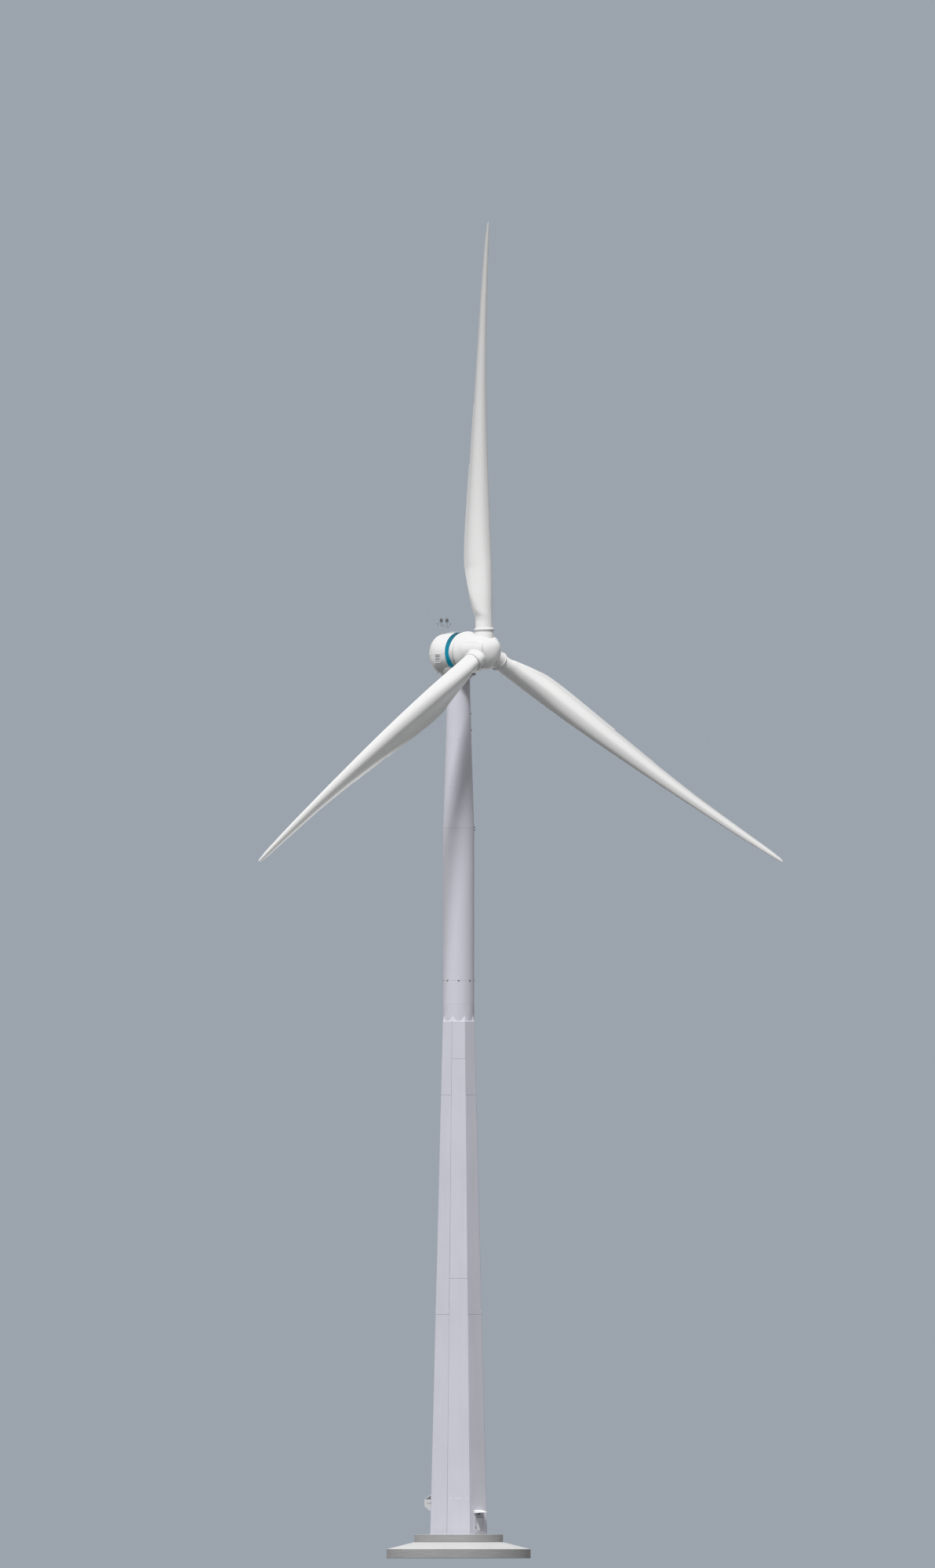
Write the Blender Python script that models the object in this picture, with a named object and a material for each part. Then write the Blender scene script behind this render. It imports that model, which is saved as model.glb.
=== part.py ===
"""Wind turbine, 1:10 scale model: foundation, precast concrete and steel tower, nacelle and three-blade rotor.

Frame: +Z up, origin at the centre of the foundation's underside, rotor nose towards -Y.
Every size in this file is the full-size turbine's, in metres. Each mesh and each place is
multiplied once by MODEL_SCALE when its object is made.
"""

import math

import bmesh
import bpy
from mathutils import Vector

MODEL_SCALE = 0.1
SEAT_GAP = 0.003
RUNNING_GAP = 0.08

# Foundation: three round slabs, cast one on the other.
BASE_RADIUS = 10.0
BASE_TOP = 1.25
PEDESTAL_RADIUS = 6.15
SLOPE_TOP = 2.23
PEDESTAL_TOP = 3.315
FOUNDATION_SIDES = 64

# Concrete tower: an eight-sided shell of precast planks, its joints staggered by one step.
FACETS = 8
FACET_TURN = 2 * math.pi / FACETS
CONCRETE_TOP = 74.5
APOTHEM_FOOT = 3.95
APOTHEM_TOP = 2.20
CONCRETE_WALL = 0.30
PLANK_LENGTH = 30.43
STAGGER = 5.0
SIDE_JOINTS = (PEDESTAL_TOP + PLANK_LENGTH, PEDESTAL_TOP + 2 * PLANK_LENGTH)
CORNER_JOINTS = (SIDE_JOINTS[0] + STAGGER, SIDE_JOINTS[1] + STAGGER)
SIDE_NAMES = {0: "east", 2: "north", 4: "west"}
CORNER_NAMES = {1: "northeast", 3: "northwest", 5: "southwest", 7: "southeast"}
SOUTH = 6
NORTHWEST = 3

# Steel tower on its adapter ring.
ADAPTER_TOP = 76.86
BROACH_HEIGHT = 0.80
STEEL_RADIUS = 2.16
STEEL_WALL = 0.04
FLANGE_LEVEL_LOW = 80.13
FLANGE_LEVEL_HIGH = 101.25
TAPER_END = 119.9
STEEL_TOP_RADIUS = 1.57
TOWER_TOP = 122.05
TOP_FLANGE_HEIGHT = 0.25
TOP_FLANGE_RADIUS = 1.78
TOP_FLANGE_WALL = 0.28
ROUND_SIDES = 48

# Door, its frame and canopy on the south facet, and the air box on the north-west facet.
OPENING_HALF = 0.86
OPENING_TOP = 5.80
FRAME_BAR = 0.08
FRAME_TOP_BAR = 0.10
FRAME_FRONT = 4.02
FRAME_BACK = 3.56
LEAF_CLEARANCE = 0.05
LEAF_THICKNESS = 0.08
LEAF_BOTTOM = 3.40
LEAF_HALF = OPENING_HALF - FRAME_BAR - LEAF_CLEARANCE
LEAF_TOP = OPENING_TOP - FRAME_TOP_BAR - LEAF_CLEARANCE
HINGE_RADIUS = 0.04
HINGE_Y = -FRAME_FRONT - 0.02
LUG_DEPTH = 0.08
LUG_BOTTOM_TOP = 3.345
LUG_HEIGHT = 0.055
HANDLE_CENTRE = (-0.64, 4.30)
HANDLE_SIZE = (0.12, 0.05, 0.24)
CANOPY_HALF = 0.85
CANOPY_REACH = 4.82
CANOPY_BACK_TOP = 6.68
CANOPY_FRONT_TOP = 6.36
CANOPY_UNDERSIDE = 6.28
AIR_BOX_HALF = 0.65
AIR_BOX_PROFILE = ((0.0, 8.86), (0.93, 8.16), (0.93, 7.17), (0.0, 6.47))

# Rotor shaft: the hub centre, and the stations along the shaft, counted backwards from it.
SHAFT_TILT = math.radians(4.1)
HUB_CENTRE = (0.0, -5.1, 125.8)
HUB_RADIUS = 2.35
HUB_LOBES = 0.10
NOSE_LENGTH = 1.90
NOSE_SQUARENESS = 2.2
NOSE_STEPS = 8
DRUM_FRONT = 1.90
DRUM_REAR = 3.42
# Mean radius, station and lobing of the hub's rear part and of the drum.
HUB_RINGS = ((2.39, 0.5, 0.10), (2.46, 1.0, 0.10), (2.56, 1.5, 0.09), (2.66, DRUM_FRONT, 0.07))
DRUM_RINGS = (
    (2.82, DRUM_REAR, 0.0),
    (2.90, 3.34, 0.0),
    (2.92, 3.0, 0.0),
    (2.90, 2.7, 0.01),
    (2.80, 2.3, 0.04),
    (2.66, DRUM_FRONT, 0.07),
)
LIP_RADIUS = 2.86
BAND_FRONT = 4.24
BAND_REAR = 4.90
BAND_FRONT_RADIUS = 2.90
HOUSING_RADIUS = 2.92
SHAFT_RADIUS = 0.80
SHAFT_BORE_RADIUS = 0.805
SHAFT_DEPTH = 0.90

# Nacelle housing: a rounded box, closed at the rear, with a crease at shaft height.
HOUSING_DEPTH = 4.42
HOUSING_HALF_HEIGHT = 3.05
HOUSING_SECTION_POWER = 2.8
HOUSING_END_POWER = 3.4
HOUSING_CREASE = 0.16
HOUSING_RINGS = 11
HOUSING_SIDES = 40
YAW_RING_RADIUS = 1.75
YAW_RING_TOP = 122.56
SKIRT_TOP_RADIUS = 2.45
SKIRT_FOOT_RADIUS = 2.05
SKIRT_INNER_RADIUS = 1.95
SKIRT_FOOT = 122.26

# Sockets and blades.
BLADE_AZIMUTHS = (0.0, 120.0, 240.0)
CONE_ANGLE = math.radians(2.0)
SOCKET_RADIUS = 1.28
SOCKET_END = 2.90
FLANGE_RADIUS = 1.385
FLANGE_END = 3.05
ROOT_RADIUS = 1.20
ROOT_CYLINDER_END = 4.2
BLADE_TIP = 59.45
PREBEND = 2.9
PREBEND_POWER = 2.5
BLADE_POINTS = 24
# Radius, chord, thickness over chord, twist in degrees, share of the chord ahead of the pitch axis.
BLADE_STATIONS = (
    (5.6, 2.75, 0.82, 15.0, 0.45),
    (8.0, 3.45, 0.60, 13.0, 0.38),
    (10.4, 4.15, 0.44, 10.8, 0.33),
    (13.0, 4.45, 0.35, 8.8, 0.315),
    (17.0, 4.22, 0.30, 6.8, 0.32),
    (22.0, 3.72, 0.27, 4.2, 0.335),
    (28.0, 3.08, 0.25, 1.0, 0.35),
    (35.0, 2.35, 0.22, -0.4, 0.37),
    (43.0, 1.66, 0.20, -1.3, 0.40),
    (51.0, 1.20, 0.18, -1.8, 0.41),
    (57.0, 0.80, 0.18, -2.0, 0.42),
    (59.0, 0.42, 0.18, -2.0, 0.44),
    (59.45, 0.12, 0.20, -2.0, 0.50),
)

# Weather mast, lights, hatch and louvres on the nacelle, as places relative to the tower's axis.
MAST_Y = 2.85
MAST_HALF = 0.56
MAST_FOOT = 127.20
MAST_TOP = 129.76
MAST_BAR = 0.10
RUNG_LEVELS = (128.69, 128.94, 129.16, 129.37)
RUNG_BAR = 0.06
ARM_LEVEL = 129.30
ARM_REACH = 1.25
ARM_BAR = 0.05
LIGHT_RADIUS = 0.17
LIGHT_HEIGHT = 0.60
HATCH_LOW = (-0.65, 0.05, 128.15)
HATCH_HIGH = (0.65, 1.15, 128.46)
LOUVRE_LOW = (2.62, 0.65, 124.14)
LOUVRE_HIGH = (2.95, 1.75, 125.36)


def clear_scene():
    for obj in list(bpy.data.objects):
        bpy.data.objects.remove(obj, do_unlink=True)


def paint(name, colour, roughness, metallic=0.0):
    material = bpy.data.materials.new(name)
    material.use_nodes = True
    shader = material.node_tree.nodes["Principled BSDF"]
    shader.inputs["Base Color"].default_value = (*colour, 1.0)
    shader.inputs["Roughness"].default_value = roughness
    shader.inputs["Metallic"].default_value = metallic
    material.diffuse_color = (*colour, 1.0)
    return material


def scaled(place):
    return Vector(place) * MODEL_SCALE


def axis_empty(name, place, turn=(0.0, 0.0, 0.0), parent=None):
    empty = bpy.data.objects.new(name, None)
    empty.empty_display_size = MODEL_SCALE
    bpy.context.scene.collection.objects.link(empty)
    empty.parent = parent
    empty.location = scaled(place)
    empty.rotation_euler = turn
    return empty


def add_object(name, solid, material, parent=None, place=(0.0, 0.0, 0.0), turn=(0.0, 0.0, 0.0)):
    """Turns a bmesh in full-size metres into a scaled object with outward faces."""
    bmesh.ops.scale(solid, vec=(MODEL_SCALE,) * 3, verts=solid.verts)
    bmesh.ops.recalc_face_normals(solid, faces=solid.faces)
    mesh = bpy.data.meshes.new(name)
    solid.to_mesh(mesh)
    solid.free()
    mesh.shade_smooth()
    mesh.set_sharp_from_angle(angle=math.radians(30))
    mesh.materials.append(material)
    obj = bpy.data.objects.new(name, mesh)
    bpy.context.scene.collection.objects.link(obj)
    obj.parent = parent
    obj.location = scaled(place)
    obj.rotation_euler = turn
    return obj


def combine(target, tool, operation):
    """Adds a Boolean modifier to the target, and hides the tool from the build."""
    tool.hide_render = True
    tool.display_type = "WIRE"
    modifier = target.modifiers.new(tool.name, "BOOLEAN")
    modifier.operation = operation
    modifier.object = tool


def loft(rings, closed=False):
    """A solid through rings of equal point counts: capped at both ends, or joined end to start."""
    solid = bmesh.new()
    loops = [[solid.verts.new(point) for point in ring] for ring in rings]
    pairs = list(zip(loops, loops[1:]))
    if closed:
        pairs.append((loops[-1], loops[0]))
    for low, high in pairs:
        for index in range(len(low)):
            after = (index + 1) % len(low)
            solid.faces.new((low[index], low[after], high[after], high[index]))
    if not closed:
        solid.faces.new(loops[0])
        solid.faces.new(loops[-1])
    return solid


def ring_about_z(radius, level, sides):
    turns = (2 * math.pi * index / sides for index in range(sides))
    return [(radius * math.cos(turn), radius * math.sin(turn), level) for turn in turns]


def ring_about_y(radius, station, sides):
    turns = (2 * math.pi * index / sides for index in range(sides))
    return [(radius * math.sin(turn), station, radius * math.cos(turn)) for turn in turns]


def turned(profile, sides, about=ring_about_z, closed=False):
    """A turned solid from its (radius, height) profile."""
    return loft([about(radius, height, sides) for radius, height in profile], closed)


def box(low, high):
    corners = [(low[0], low[1]), (high[0], low[1]), (high[0], high[1]), (low[0], high[1])]
    return loft([[(x, y, level) for x, y in corners] for level in (low[2], high[2])])


def apothem(level):
    """Distance from the tower's axis to the outer face of a concrete facet."""
    share = (level - PEDESTAL_TOP) / (CONCRETE_TOP - PEDESTAL_TOP)
    return APOTHEM_FOOT + (APOTHEM_TOP - APOTHEM_FOOT) * share


def on_facet(facet, outward, along, level):
    """A point at a distance outward from the tower's axis and along the facet, to its left seen from inside."""
    turn = facet * FACET_TURN
    x = outward * math.cos(turn) - along * math.sin(turn)
    y = outward * math.sin(turn) + along * math.cos(turn)
    return (x, y, level)


def plank(facet, bottom, top, edges=(None, None)):
    """One precast plank. An edge is a mitre where it is None, or else a fixed distance along the facet."""
    rings = []
    for level in (bottom, top):
        ring = []
        for side, depth in ((0, 0.0), (1, 0.0), (1, CONCRETE_WALL), (0, CONCRETE_WALL)):
            outward = apothem(level) - depth
            mitre = outward * math.tan(FACET_TURN / 2) - SEAT_GAP
            along = edges[side] if edges[side] is not None else (-mitre, mitre)[side]
            ring.append(on_facet(facet, outward, along, level))
        rings.append(ring)
    return loft(rings)


def castellated_ring(rows):
    """An eight-sided tube from rows of (bottom, top, facets), keeping only the faces that show.

    Where a facet stands beyond its neighbours, its free end is drawn in by one seat gap at each side.
    """
    solid = bmesh.new()
    cells = {(row, facet) for row, (_, _, facets) in enumerate(rows) for facet in facets}
    corners = {}

    def corner(row, facet, side, high, depth):
        beside = (row, (facet + side) % FACETS)
        beyond = (row + 1 if high else row - 1, facet)
        free = beside not in cells and beyond not in cells
        edge = (facet if side > 0 else facet - 1) % FACETS
        level = rows[row][1 if high else 0]
        key = (edge, round(level, 4), depth, facet if free else None)
        if key not in corners:
            reach = apothem(level) - depth
            half = reach * math.tan(FACET_TURN / 2) - (SEAT_GAP if free else 0.0)
            corners[key] = solid.verts.new(on_facet(facet, reach, side * half, level))
        return corners[key]

    for row, facet in sorted(cells):
        low, high = (
            [
                corner(row, facet, -1, top, 0.0),
                corner(row, facet, 1, top, 0.0),
                corner(row, facet, 1, top, CONCRETE_WALL),
                corner(row, facet, -1, top, CONCRETE_WALL),
            ]
            for top in (False, True)
        )
        solid.faces.new((low[0], low[1], high[1], high[0]))
        solid.faces.new((low[2], low[3], high[3], high[2]))
        if (row - 1, facet) not in cells:
            solid.faces.new(low)
        if (row + 1, facet) not in cells:
            solid.faces.new(high)
        if (row, (facet + 1) % FACETS) not in cells:
            solid.faces.new((low[1], low[2], high[2], high[1]))
        if (row, (facet - 1) % FACETS) not in cells:
            solid.faces.new((low[3], low[0], high[0], high[3]))
    return solid


def add_foundation(concrete, render):
    base = [(BASE_RADIUS, 0.0), (BASE_RADIUS, BASE_TOP - SEAT_GAP)]
    slope = [(BASE_RADIUS, BASE_TOP), (PEDESTAL_RADIUS, SLOPE_TOP - SEAT_GAP)]
    pedestal = [(PEDESTAL_RADIUS, SLOPE_TOP), (PEDESTAL_RADIUS, PEDESTAL_TOP - SEAT_GAP)]
    add_object("foundation_base", turned(base, FOUNDATION_SIDES), concrete)
    add_object("foundation_slope", turned(slope, FOUNDATION_SIDES), render)
    add_object("foundation_pedestal", turned(pedestal, FOUNDATION_SIDES), concrete)


def add_concrete_tower(concrete):
    side_top = SIDE_JOINTS[0] - SEAT_GAP
    for facet, place in SIDE_NAMES.items():
        add_object(f"tower_plank_{place}", plank(facet, PEDESTAL_TOP, side_top), concrete)
    for facet, place in CORNER_NAMES.items():
        shape = plank(facet, PEDESTAL_TOP, CORNER_JOINTS[0] - SEAT_GAP)
        add_object(f"tower_plank_{place}", shape, concrete)
    beside_top = OPENING_TOP - SEAT_GAP
    left = plank(SOUTH, PEDESTAL_TOP, beside_top, (None, -OPENING_HALF))
    right = plank(SOUTH, PEDESTAL_TOP, beside_top, (OPENING_HALF, None))
    add_object("door_wall_left", left, concrete)
    add_object("door_wall_right", right, concrete)
    add_object("tower_plank_south", plank(SOUTH, OPENING_TOP, side_top), concrete)

    sides = range(0, FACETS, 2)
    corners = range(1, FACETS, 2)
    middle = (
        (SIDE_JOINTS[0], CORNER_JOINTS[0], sides),
        (CORNER_JOINTS[0], SIDE_JOINTS[1] - SEAT_GAP, range(FACETS)),
        (SIDE_JOINTS[1] - SEAT_GAP, CORNER_JOINTS[1] - SEAT_GAP, corners),
    )
    add_object("tower_middle_course", castellated_ring(middle), concrete)
    top = (
        (SIDE_JOINTS[1], CORNER_JOINTS[1], sides),
        (CORNER_JOINTS[1], CONCRETE_TOP - SEAT_GAP, range(FACETS)),
    )
    solid = castellated_ring(top)
    add_object("tower_top_course", solid, concrete)


def adapter_ring(height):
    """The octagon's outline at the foot, drawn in to the circle along eight pyramids."""
    corner_reach = APOTHEM_TOP / math.cos(FACET_TURN / 2)
    drawn_in = (corner_reach - STEEL_RADIUS) * height / BROACH_HEIGHT
    ring = []
    for index in range(ROUND_SIDES):
        turn = 2 * math.pi * index / ROUND_SIDES
        off_facet = (turn + FACET_TURN / 2) % FACET_TURN - FACET_TURN / 2
        radius = max(STEEL_RADIUS, APOTHEM_TOP / math.cos(off_facet) - drawn_in)
        ring.append((radius * math.cos(turn), radius * math.sin(turn), CONCRETE_TOP + height))
    return ring


def add_steel_tower(concrete, steel):
    inner = STEEL_RADIUS - CONCRETE_WALL
    rings = [adapter_ring(BROACH_HEIGHT * step / 4) for step in range(5)]
    rings.append(ring_about_z(STEEL_RADIUS, ADAPTER_TOP - SEAT_GAP, ROUND_SIDES))
    rings.append(ring_about_z(inner, ADAPTER_TOP - SEAT_GAP, ROUND_SIDES))
    rings.append(ring_about_z(inner, CONCRETE_TOP, ROUND_SIDES))
    add_object("tower_adapter", loft(rings, closed=True), concrete)

    def tube(levels):
        outer = [(radius, level) for radius, level in levels]
        return outer + [(radius - STEEL_WALL, level) for radius, level in reversed(levels)]

    sections = {
        "steel_section_lower": ((STEEL_RADIUS, ADAPTER_TOP), (STEEL_RADIUS, FLANGE_LEVEL_LOW - SEAT_GAP)),
        "steel_section_middle": ((STEEL_RADIUS, FLANGE_LEVEL_LOW), (STEEL_RADIUS, FLANGE_LEVEL_HIGH - SEAT_GAP)),
        "steel_section_upper": (
            (STEEL_RADIUS, FLANGE_LEVEL_HIGH),
            (STEEL_TOP_RADIUS, TAPER_END),
            (STEEL_TOP_RADIUS, TOWER_TOP - SEAT_GAP),
        ),
    }
    for name, levels in sections.items():
        add_object(name, turned(tube(levels), ROUND_SIDES, closed=True), steel)
    inside = TOP_FLANGE_RADIUS - TOP_FLANGE_WALL
    top = TOWER_TOP + TOP_FLANGE_HEIGHT
    flange = [(TOP_FLANGE_RADIUS, TOWER_TOP), (TOP_FLANGE_RADIUS, top), (inside, top), (inside, TOWER_TOP)]
    add_object("tower_top_flange", turned(flange, ROUND_SIDES, closed=True), steel)


def add_doorway(steel, grey):
    side = OPENING_HALF - SEAT_GAP
    head = OPENING_TOP - 2 * SEAT_GAP
    frame = add_object("door_frame", box((-side, -FRAME_FRONT, PEDESTAL_TOP), (side, -FRAME_BACK, head)), steel)
    clear_half = OPENING_HALF - FRAME_BAR
    clear_low = (-clear_half, -FRAME_FRONT - 1, PEDESTAL_TOP - 1)
    clear_high = (clear_half, -FRAME_BACK + 1, OPENING_TOP - FRAME_TOP_BAR)
    combine(frame, add_object("door_frame_cutter", box(clear_low, clear_high), steel), "DIFFERENCE")
    lug_low = LEAF_HALF - 0.04
    lug_high = clear_half + 0.04
    barrel_bottom = LUG_BOTTOM_TOP + SEAT_GAP
    barrel_top = OPENING_TOP - FRAME_TOP_BAR
    for name, low, high in (
        ("lug_low", PEDESTAL_TOP, LUG_BOTTOM_TOP),
        ("lug_high", barrel_top + SEAT_GAP, barrel_top + LUG_HEIGHT),
    ):
        lug = box((lug_low, -FRAME_FRONT - LUG_DEPTH, low), (lug_high, -FRAME_FRONT + 0.02, high))
        combine(frame, add_object(name, lug, steel), "UNION")

    hinge = axis_empty("door_hinge_axis", (LEAF_HALF, HINGE_Y, LEAF_BOTTOM))
    depth = FRAME_FRONT + HINGE_Y
    leaf_low = (-2 * LEAF_HALF, -depth, 0.0)
    leaf_high = (0.0, -depth + LEAF_THICKNESS, LEAF_TOP - LEAF_BOTTOM)
    leaf = add_object("door_leaf", box(leaf_low, leaf_high), grey, hinge)
    barrel = [(HINGE_RADIUS, barrel_bottom - LEAF_BOTTOM), (HINGE_RADIUS, barrel_top - LEAF_BOTTOM)]
    combine(leaf, add_object("hinge_barrel", turned(barrel, 16), grey, hinge), "UNION")
    width, reach, tall = HANDLE_SIZE
    x = HANDLE_CENTRE[0] - LEAF_HALF
    z = HANDLE_CENTRE[1] - LEAF_BOTTOM
    handle = box((x - width / 2, -depth - reach, z - tall / 2), (x + width / 2, -depth + 0.02, z + tall / 2))
    combine(leaf, add_object("door_handle", handle, grey, hinge), "UNION")


def wall_prism(facet, profile, half):
    """A prism on a facet from its (reach, height) profile, where a reach of 0 lies on the facet."""
    rings = []
    for along in (-half, half):
        ring = []
        for reach, level in profile:
            outward = reach if reach > 0 else apothem(level) + SEAT_GAP
            ring.append(on_facet(facet, outward, along, level))
        rings.append(ring)
    return loft(rings)


def add_wall_boxes(white):
    canopy = (
        (0.0, CANOPY_BACK_TOP),
        (CANOPY_REACH, CANOPY_FRONT_TOP),
        (CANOPY_REACH, CANOPY_UNDERSIDE),
        (0.0, CANOPY_UNDERSIDE),
    )
    add_object("door_canopy", wall_prism(SOUTH, canopy, CANOPY_HALF), white)
    foot = apothem(AIR_BOX_PROFILE[0][1])
    profile = [(foot + reach if reach > 0 else 0.0, level) for reach, level in AIR_BOX_PROFILE]
    add_object("air_box", wall_prism(NORTHWEST, profile, AIR_BOX_HALF), white)


def housing_ring(share):
    """One ring of the housing, from the band at share 0 to the rear at share 1."""
    angle = share * math.pi / 2
    back = math.sin(angle) ** (2 / HOUSING_END_POWER)
    girth = math.cos(angle) ** (2 / HOUSING_END_POWER)
    squareness = 2 + (HOUSING_SECTION_POWER - 2) * min(1.0, 3 * share)
    half_height = HOUSING_RADIUS + (HOUSING_HALF_HEIGHT - HOUSING_RADIUS) * min(1.0, 3 * share)
    ring = []
    for index in range(HOUSING_SIDES):
        turn = 2 * math.pi * index / HOUSING_SIDES
        wide = abs(math.sin(turn)) / HOUSING_RADIUS
        tall = abs(math.cos(turn)) / half_height
        radius = girth * (wide**squareness + tall**squareness) ** (-1 / squareness)
        x, z = radius * math.sin(turn), radius * math.cos(turn)
        crease = 1 - HOUSING_CREASE * abs(z) / HOUSING_HALF_HEIGHT
        ring.append((x, BAND_REAR + SEAT_GAP + HOUSING_DEPTH * back * crease, z))
    return ring


def on_shaft(name, solid, material, yaw_axis):
    """Adds a nacelle piece that was built along the tilted shaft."""
    place = (0.0, HUB_CENTRE[1], HUB_CENTRE[2] - TOWER_TOP)
    return add_object(name, solid, material, yaw_axis, place, (-SHAFT_TILT, 0.0, 0.0))


def add_nacelle(white, teal, grey, yaw_axis):
    shares = [(index / HOUSING_RINGS) ** 1.1 * 0.995 for index in range(HOUSING_RINGS + 1)]
    housing = on_shaft("nacelle_housing", loft([housing_ring(share) for share in shares]), white, yaw_axis)

    band = [(BAND_FRONT_RADIUS, BAND_FRONT), (HOUSING_RADIUS, BAND_REAR)]
    on_shaft("nacelle_band", turned(band, ROUND_SIDES, ring_about_y), teal, yaw_axis)
    lip_front = DRUM_REAR + RUNNING_GAP
    lip = [(LIP_RADIUS, lip_front), (BAND_FRONT_RADIUS, BAND_FRONT - SEAT_GAP)]
    on_shaft("nacelle_front_ring", turned(lip, ROUND_SIDES, ring_about_y), white, yaw_axis)
    shaft_front = DRUM_REAR - SHAFT_DEPTH + SEAT_GAP
    shaft = [(SHAFT_RADIUS, shaft_front), (SHAFT_RADIUS, lip_front - SEAT_GAP)]
    on_shaft("main_shaft", turned(shaft, ROUND_SIDES, ring_about_y), grey, yaw_axis)

    yaw_foot = TOP_FLANGE_HEIGHT + SEAT_GAP
    ring_top = YAW_RING_TOP - TOWER_TOP
    inside = YAW_RING_RADIUS - TOP_FLANGE_WALL
    ring = [(YAW_RING_RADIUS, yaw_foot), (YAW_RING_RADIUS, ring_top), (inside, ring_top), (inside, yaw_foot)]
    add_object("yaw_ring", turned(ring, ROUND_SIDES, closed=True), grey, yaw_axis)
    foot = SKIRT_FOOT - TOWER_TOP
    skirt = [
        (SKIRT_FOOT_RADIUS, foot),
        (SKIRT_TOP_RADIUS, foot + 0.25),
        (SKIRT_TOP_RADIUS, ring_top),
        (SKIRT_INNER_RADIUS, ring_top),
        (SKIRT_INNER_RADIUS, foot),
    ]
    add_object("yaw_skirt", turned(skirt, ROUND_SIDES, closed=True), grey, yaw_axis)
    recess = [(SKIRT_TOP_RADIUS + SEAT_GAP, foot - 1), (SKIRT_TOP_RADIUS + SEAT_GAP, ring_top + SEAT_GAP)]
    combine(housing, add_object("yaw_recess", turned(recess, ROUND_SIDES), white, yaw_axis), "DIFFERENCE")
    return housing


def yaw_box(low, high, grow=0.0):
    """A box in the yaw axis' frame, from world heights, grown by a margin on every side."""
    return box(
        (low[0] - grow, low[1] - grow, low[2] - TOWER_TOP - grow),
        (high[0] + grow, high[1] + grow, high[2] - TOWER_TOP + grow),
    )


def seat_in_housing(housing, name, low, high, material, yaw_axis):
    """Adds a box-shaped piece in a pocket of the housing that is one seat gap larger all round."""
    pocket = add_object(f"{name}_pocket", yaw_box(low, high, SEAT_GAP), material, yaw_axis)
    combine(housing, pocket, "DIFFERENCE")
    return add_object(name, yaw_box(low, high), material, yaw_axis)


def bar_between(ends, level, width):
    """Low and high corners of a level bar across the nacelle at the mast."""
    low = (ends[0], MAST_Y - width / 2, level - width / 2)
    return low, (ends[1], MAST_Y + width / 2, level + width / 2)


def add_mast(housing, grey, lens, yaw_axis):
    posts = []
    for side in (-MAST_HALF, MAST_HALF):
        low = (side - MAST_BAR / 2, MAST_Y - MAST_BAR / 2, MAST_FOOT)
        high = (side + MAST_BAR / 2, MAST_Y + MAST_BAR / 2, MAST_TOP)
        posts.append((low, high))
    mast = seat_in_housing(housing, "weather_mast", *posts[0], grey, yaw_axis)
    other_post = seat_in_housing(housing, "mast_other_post", *posts[1], grey, yaw_axis)
    combine(mast, other_post, "UNION")
    bars = [bar_between((-MAST_HALF, MAST_HALF), level, RUNG_BAR) for level in RUNG_LEVELS]
    bars.append(bar_between((-ARM_REACH, ARM_REACH), ARM_LEVEL, ARM_BAR))
    for number, corners in enumerate(bars, 1):
        combine(mast, add_object(f"mast_bar_{number}", yaw_box(*corners), grey, yaw_axis), "UNION")
    foot = MAST_TOP - TOWER_TOP + SEAT_GAP
    lamp = [
        (LIGHT_RADIUS, foot),
        (LIGHT_RADIUS, foot + 0.7 * LIGHT_HEIGHT),
        (0.5 * LIGHT_RADIUS, foot + LIGHT_HEIGHT),
    ]
    for place, side in (("left", -MAST_HALF), ("right", MAST_HALF)):
        add_object(f"warning_light_{place}", turned(lamp, 16), lens, yaw_axis, (side, MAST_Y, 0.0))


def add_louvres(housing, grey, yaw_axis):
    mirrored_low = (-LOUVRE_HIGH[0], LOUVRE_LOW[1], LOUVRE_LOW[2])
    mirrored_high = (-LOUVRE_LOW[0], LOUVRE_HIGH[1], LOUVRE_HIGH[2])
    seat_in_housing(housing, "louvre_east", LOUVRE_LOW, LOUVRE_HIGH, grey, yaw_axis)
    seat_in_housing(housing, "louvre_west", mirrored_low, mirrored_high, grey, yaw_axis)


def lobed_ring(radius, station, lobing):
    """A ring about the shaft that is flatter under each blade and fuller between them."""
    ring = []
    for index in range(ROUND_SIDES):
        turn = 2 * math.pi * index / ROUND_SIDES
        reach = radius * (1 - lobing * math.cos(len(BLADE_AZIMUTHS) * turn))
        ring.append((reach * math.sin(turn), station, reach * math.cos(turn)))
    return ring


def nose_rings():
    """Rings from the nose tip back to the hub centre, on a superellipse."""
    rings = []
    for step in range(NOSE_STEPS + 1):
        angle = (0.03 + 0.97 * step / NOSE_STEPS) * math.pi / 2
        radius = HUB_RADIUS * math.sin(angle) ** (2 / NOSE_SQUARENESS)
        forward = NOSE_LENGTH * max(0.0, math.cos(angle)) ** (2 / NOSE_SQUARENESS)
        rings.append(lobed_ring(radius, -forward, HUB_LOBES * radius / HUB_RADIUS))
    return rings


def add_rotor(white, rotor_axis):
    rings = nose_rings() + [lobed_ring(*ring) for ring in HUB_RINGS[:-1]]
    radius, station, lobing = HUB_RINGS[-1]
    rings.append(lobed_ring(radius, station - SEAT_GAP, lobing))
    hub = add_object("hub_spinner", loft(rings), white, rotor_axis)
    for number, azimuth in enumerate(BLADE_AZIMUTHS, 1):
        socket = turned([(SOCKET_RADIUS, 0.6), (SOCKET_RADIUS, SOCKET_END)], ROUND_SIDES)
        turn_cone(socket)
        tool = add_object(f"socket_{number}", socket, white, rotor_axis, turn=(0.0, math.radians(azimuth), 0.0))
        combine(hub, tool, "UNION")
    bore_end = DRUM_REAR - SHAFT_DEPTH
    rings = [ring_about_y(SHAFT_BORE_RADIUS, station, ROUND_SIDES) for station in (bore_end, DRUM_REAR)]
    rings += [lobed_ring(*ring) for ring in DRUM_RINGS]
    add_object("rotor_drum", loft(rings), white, rotor_axis)


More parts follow.
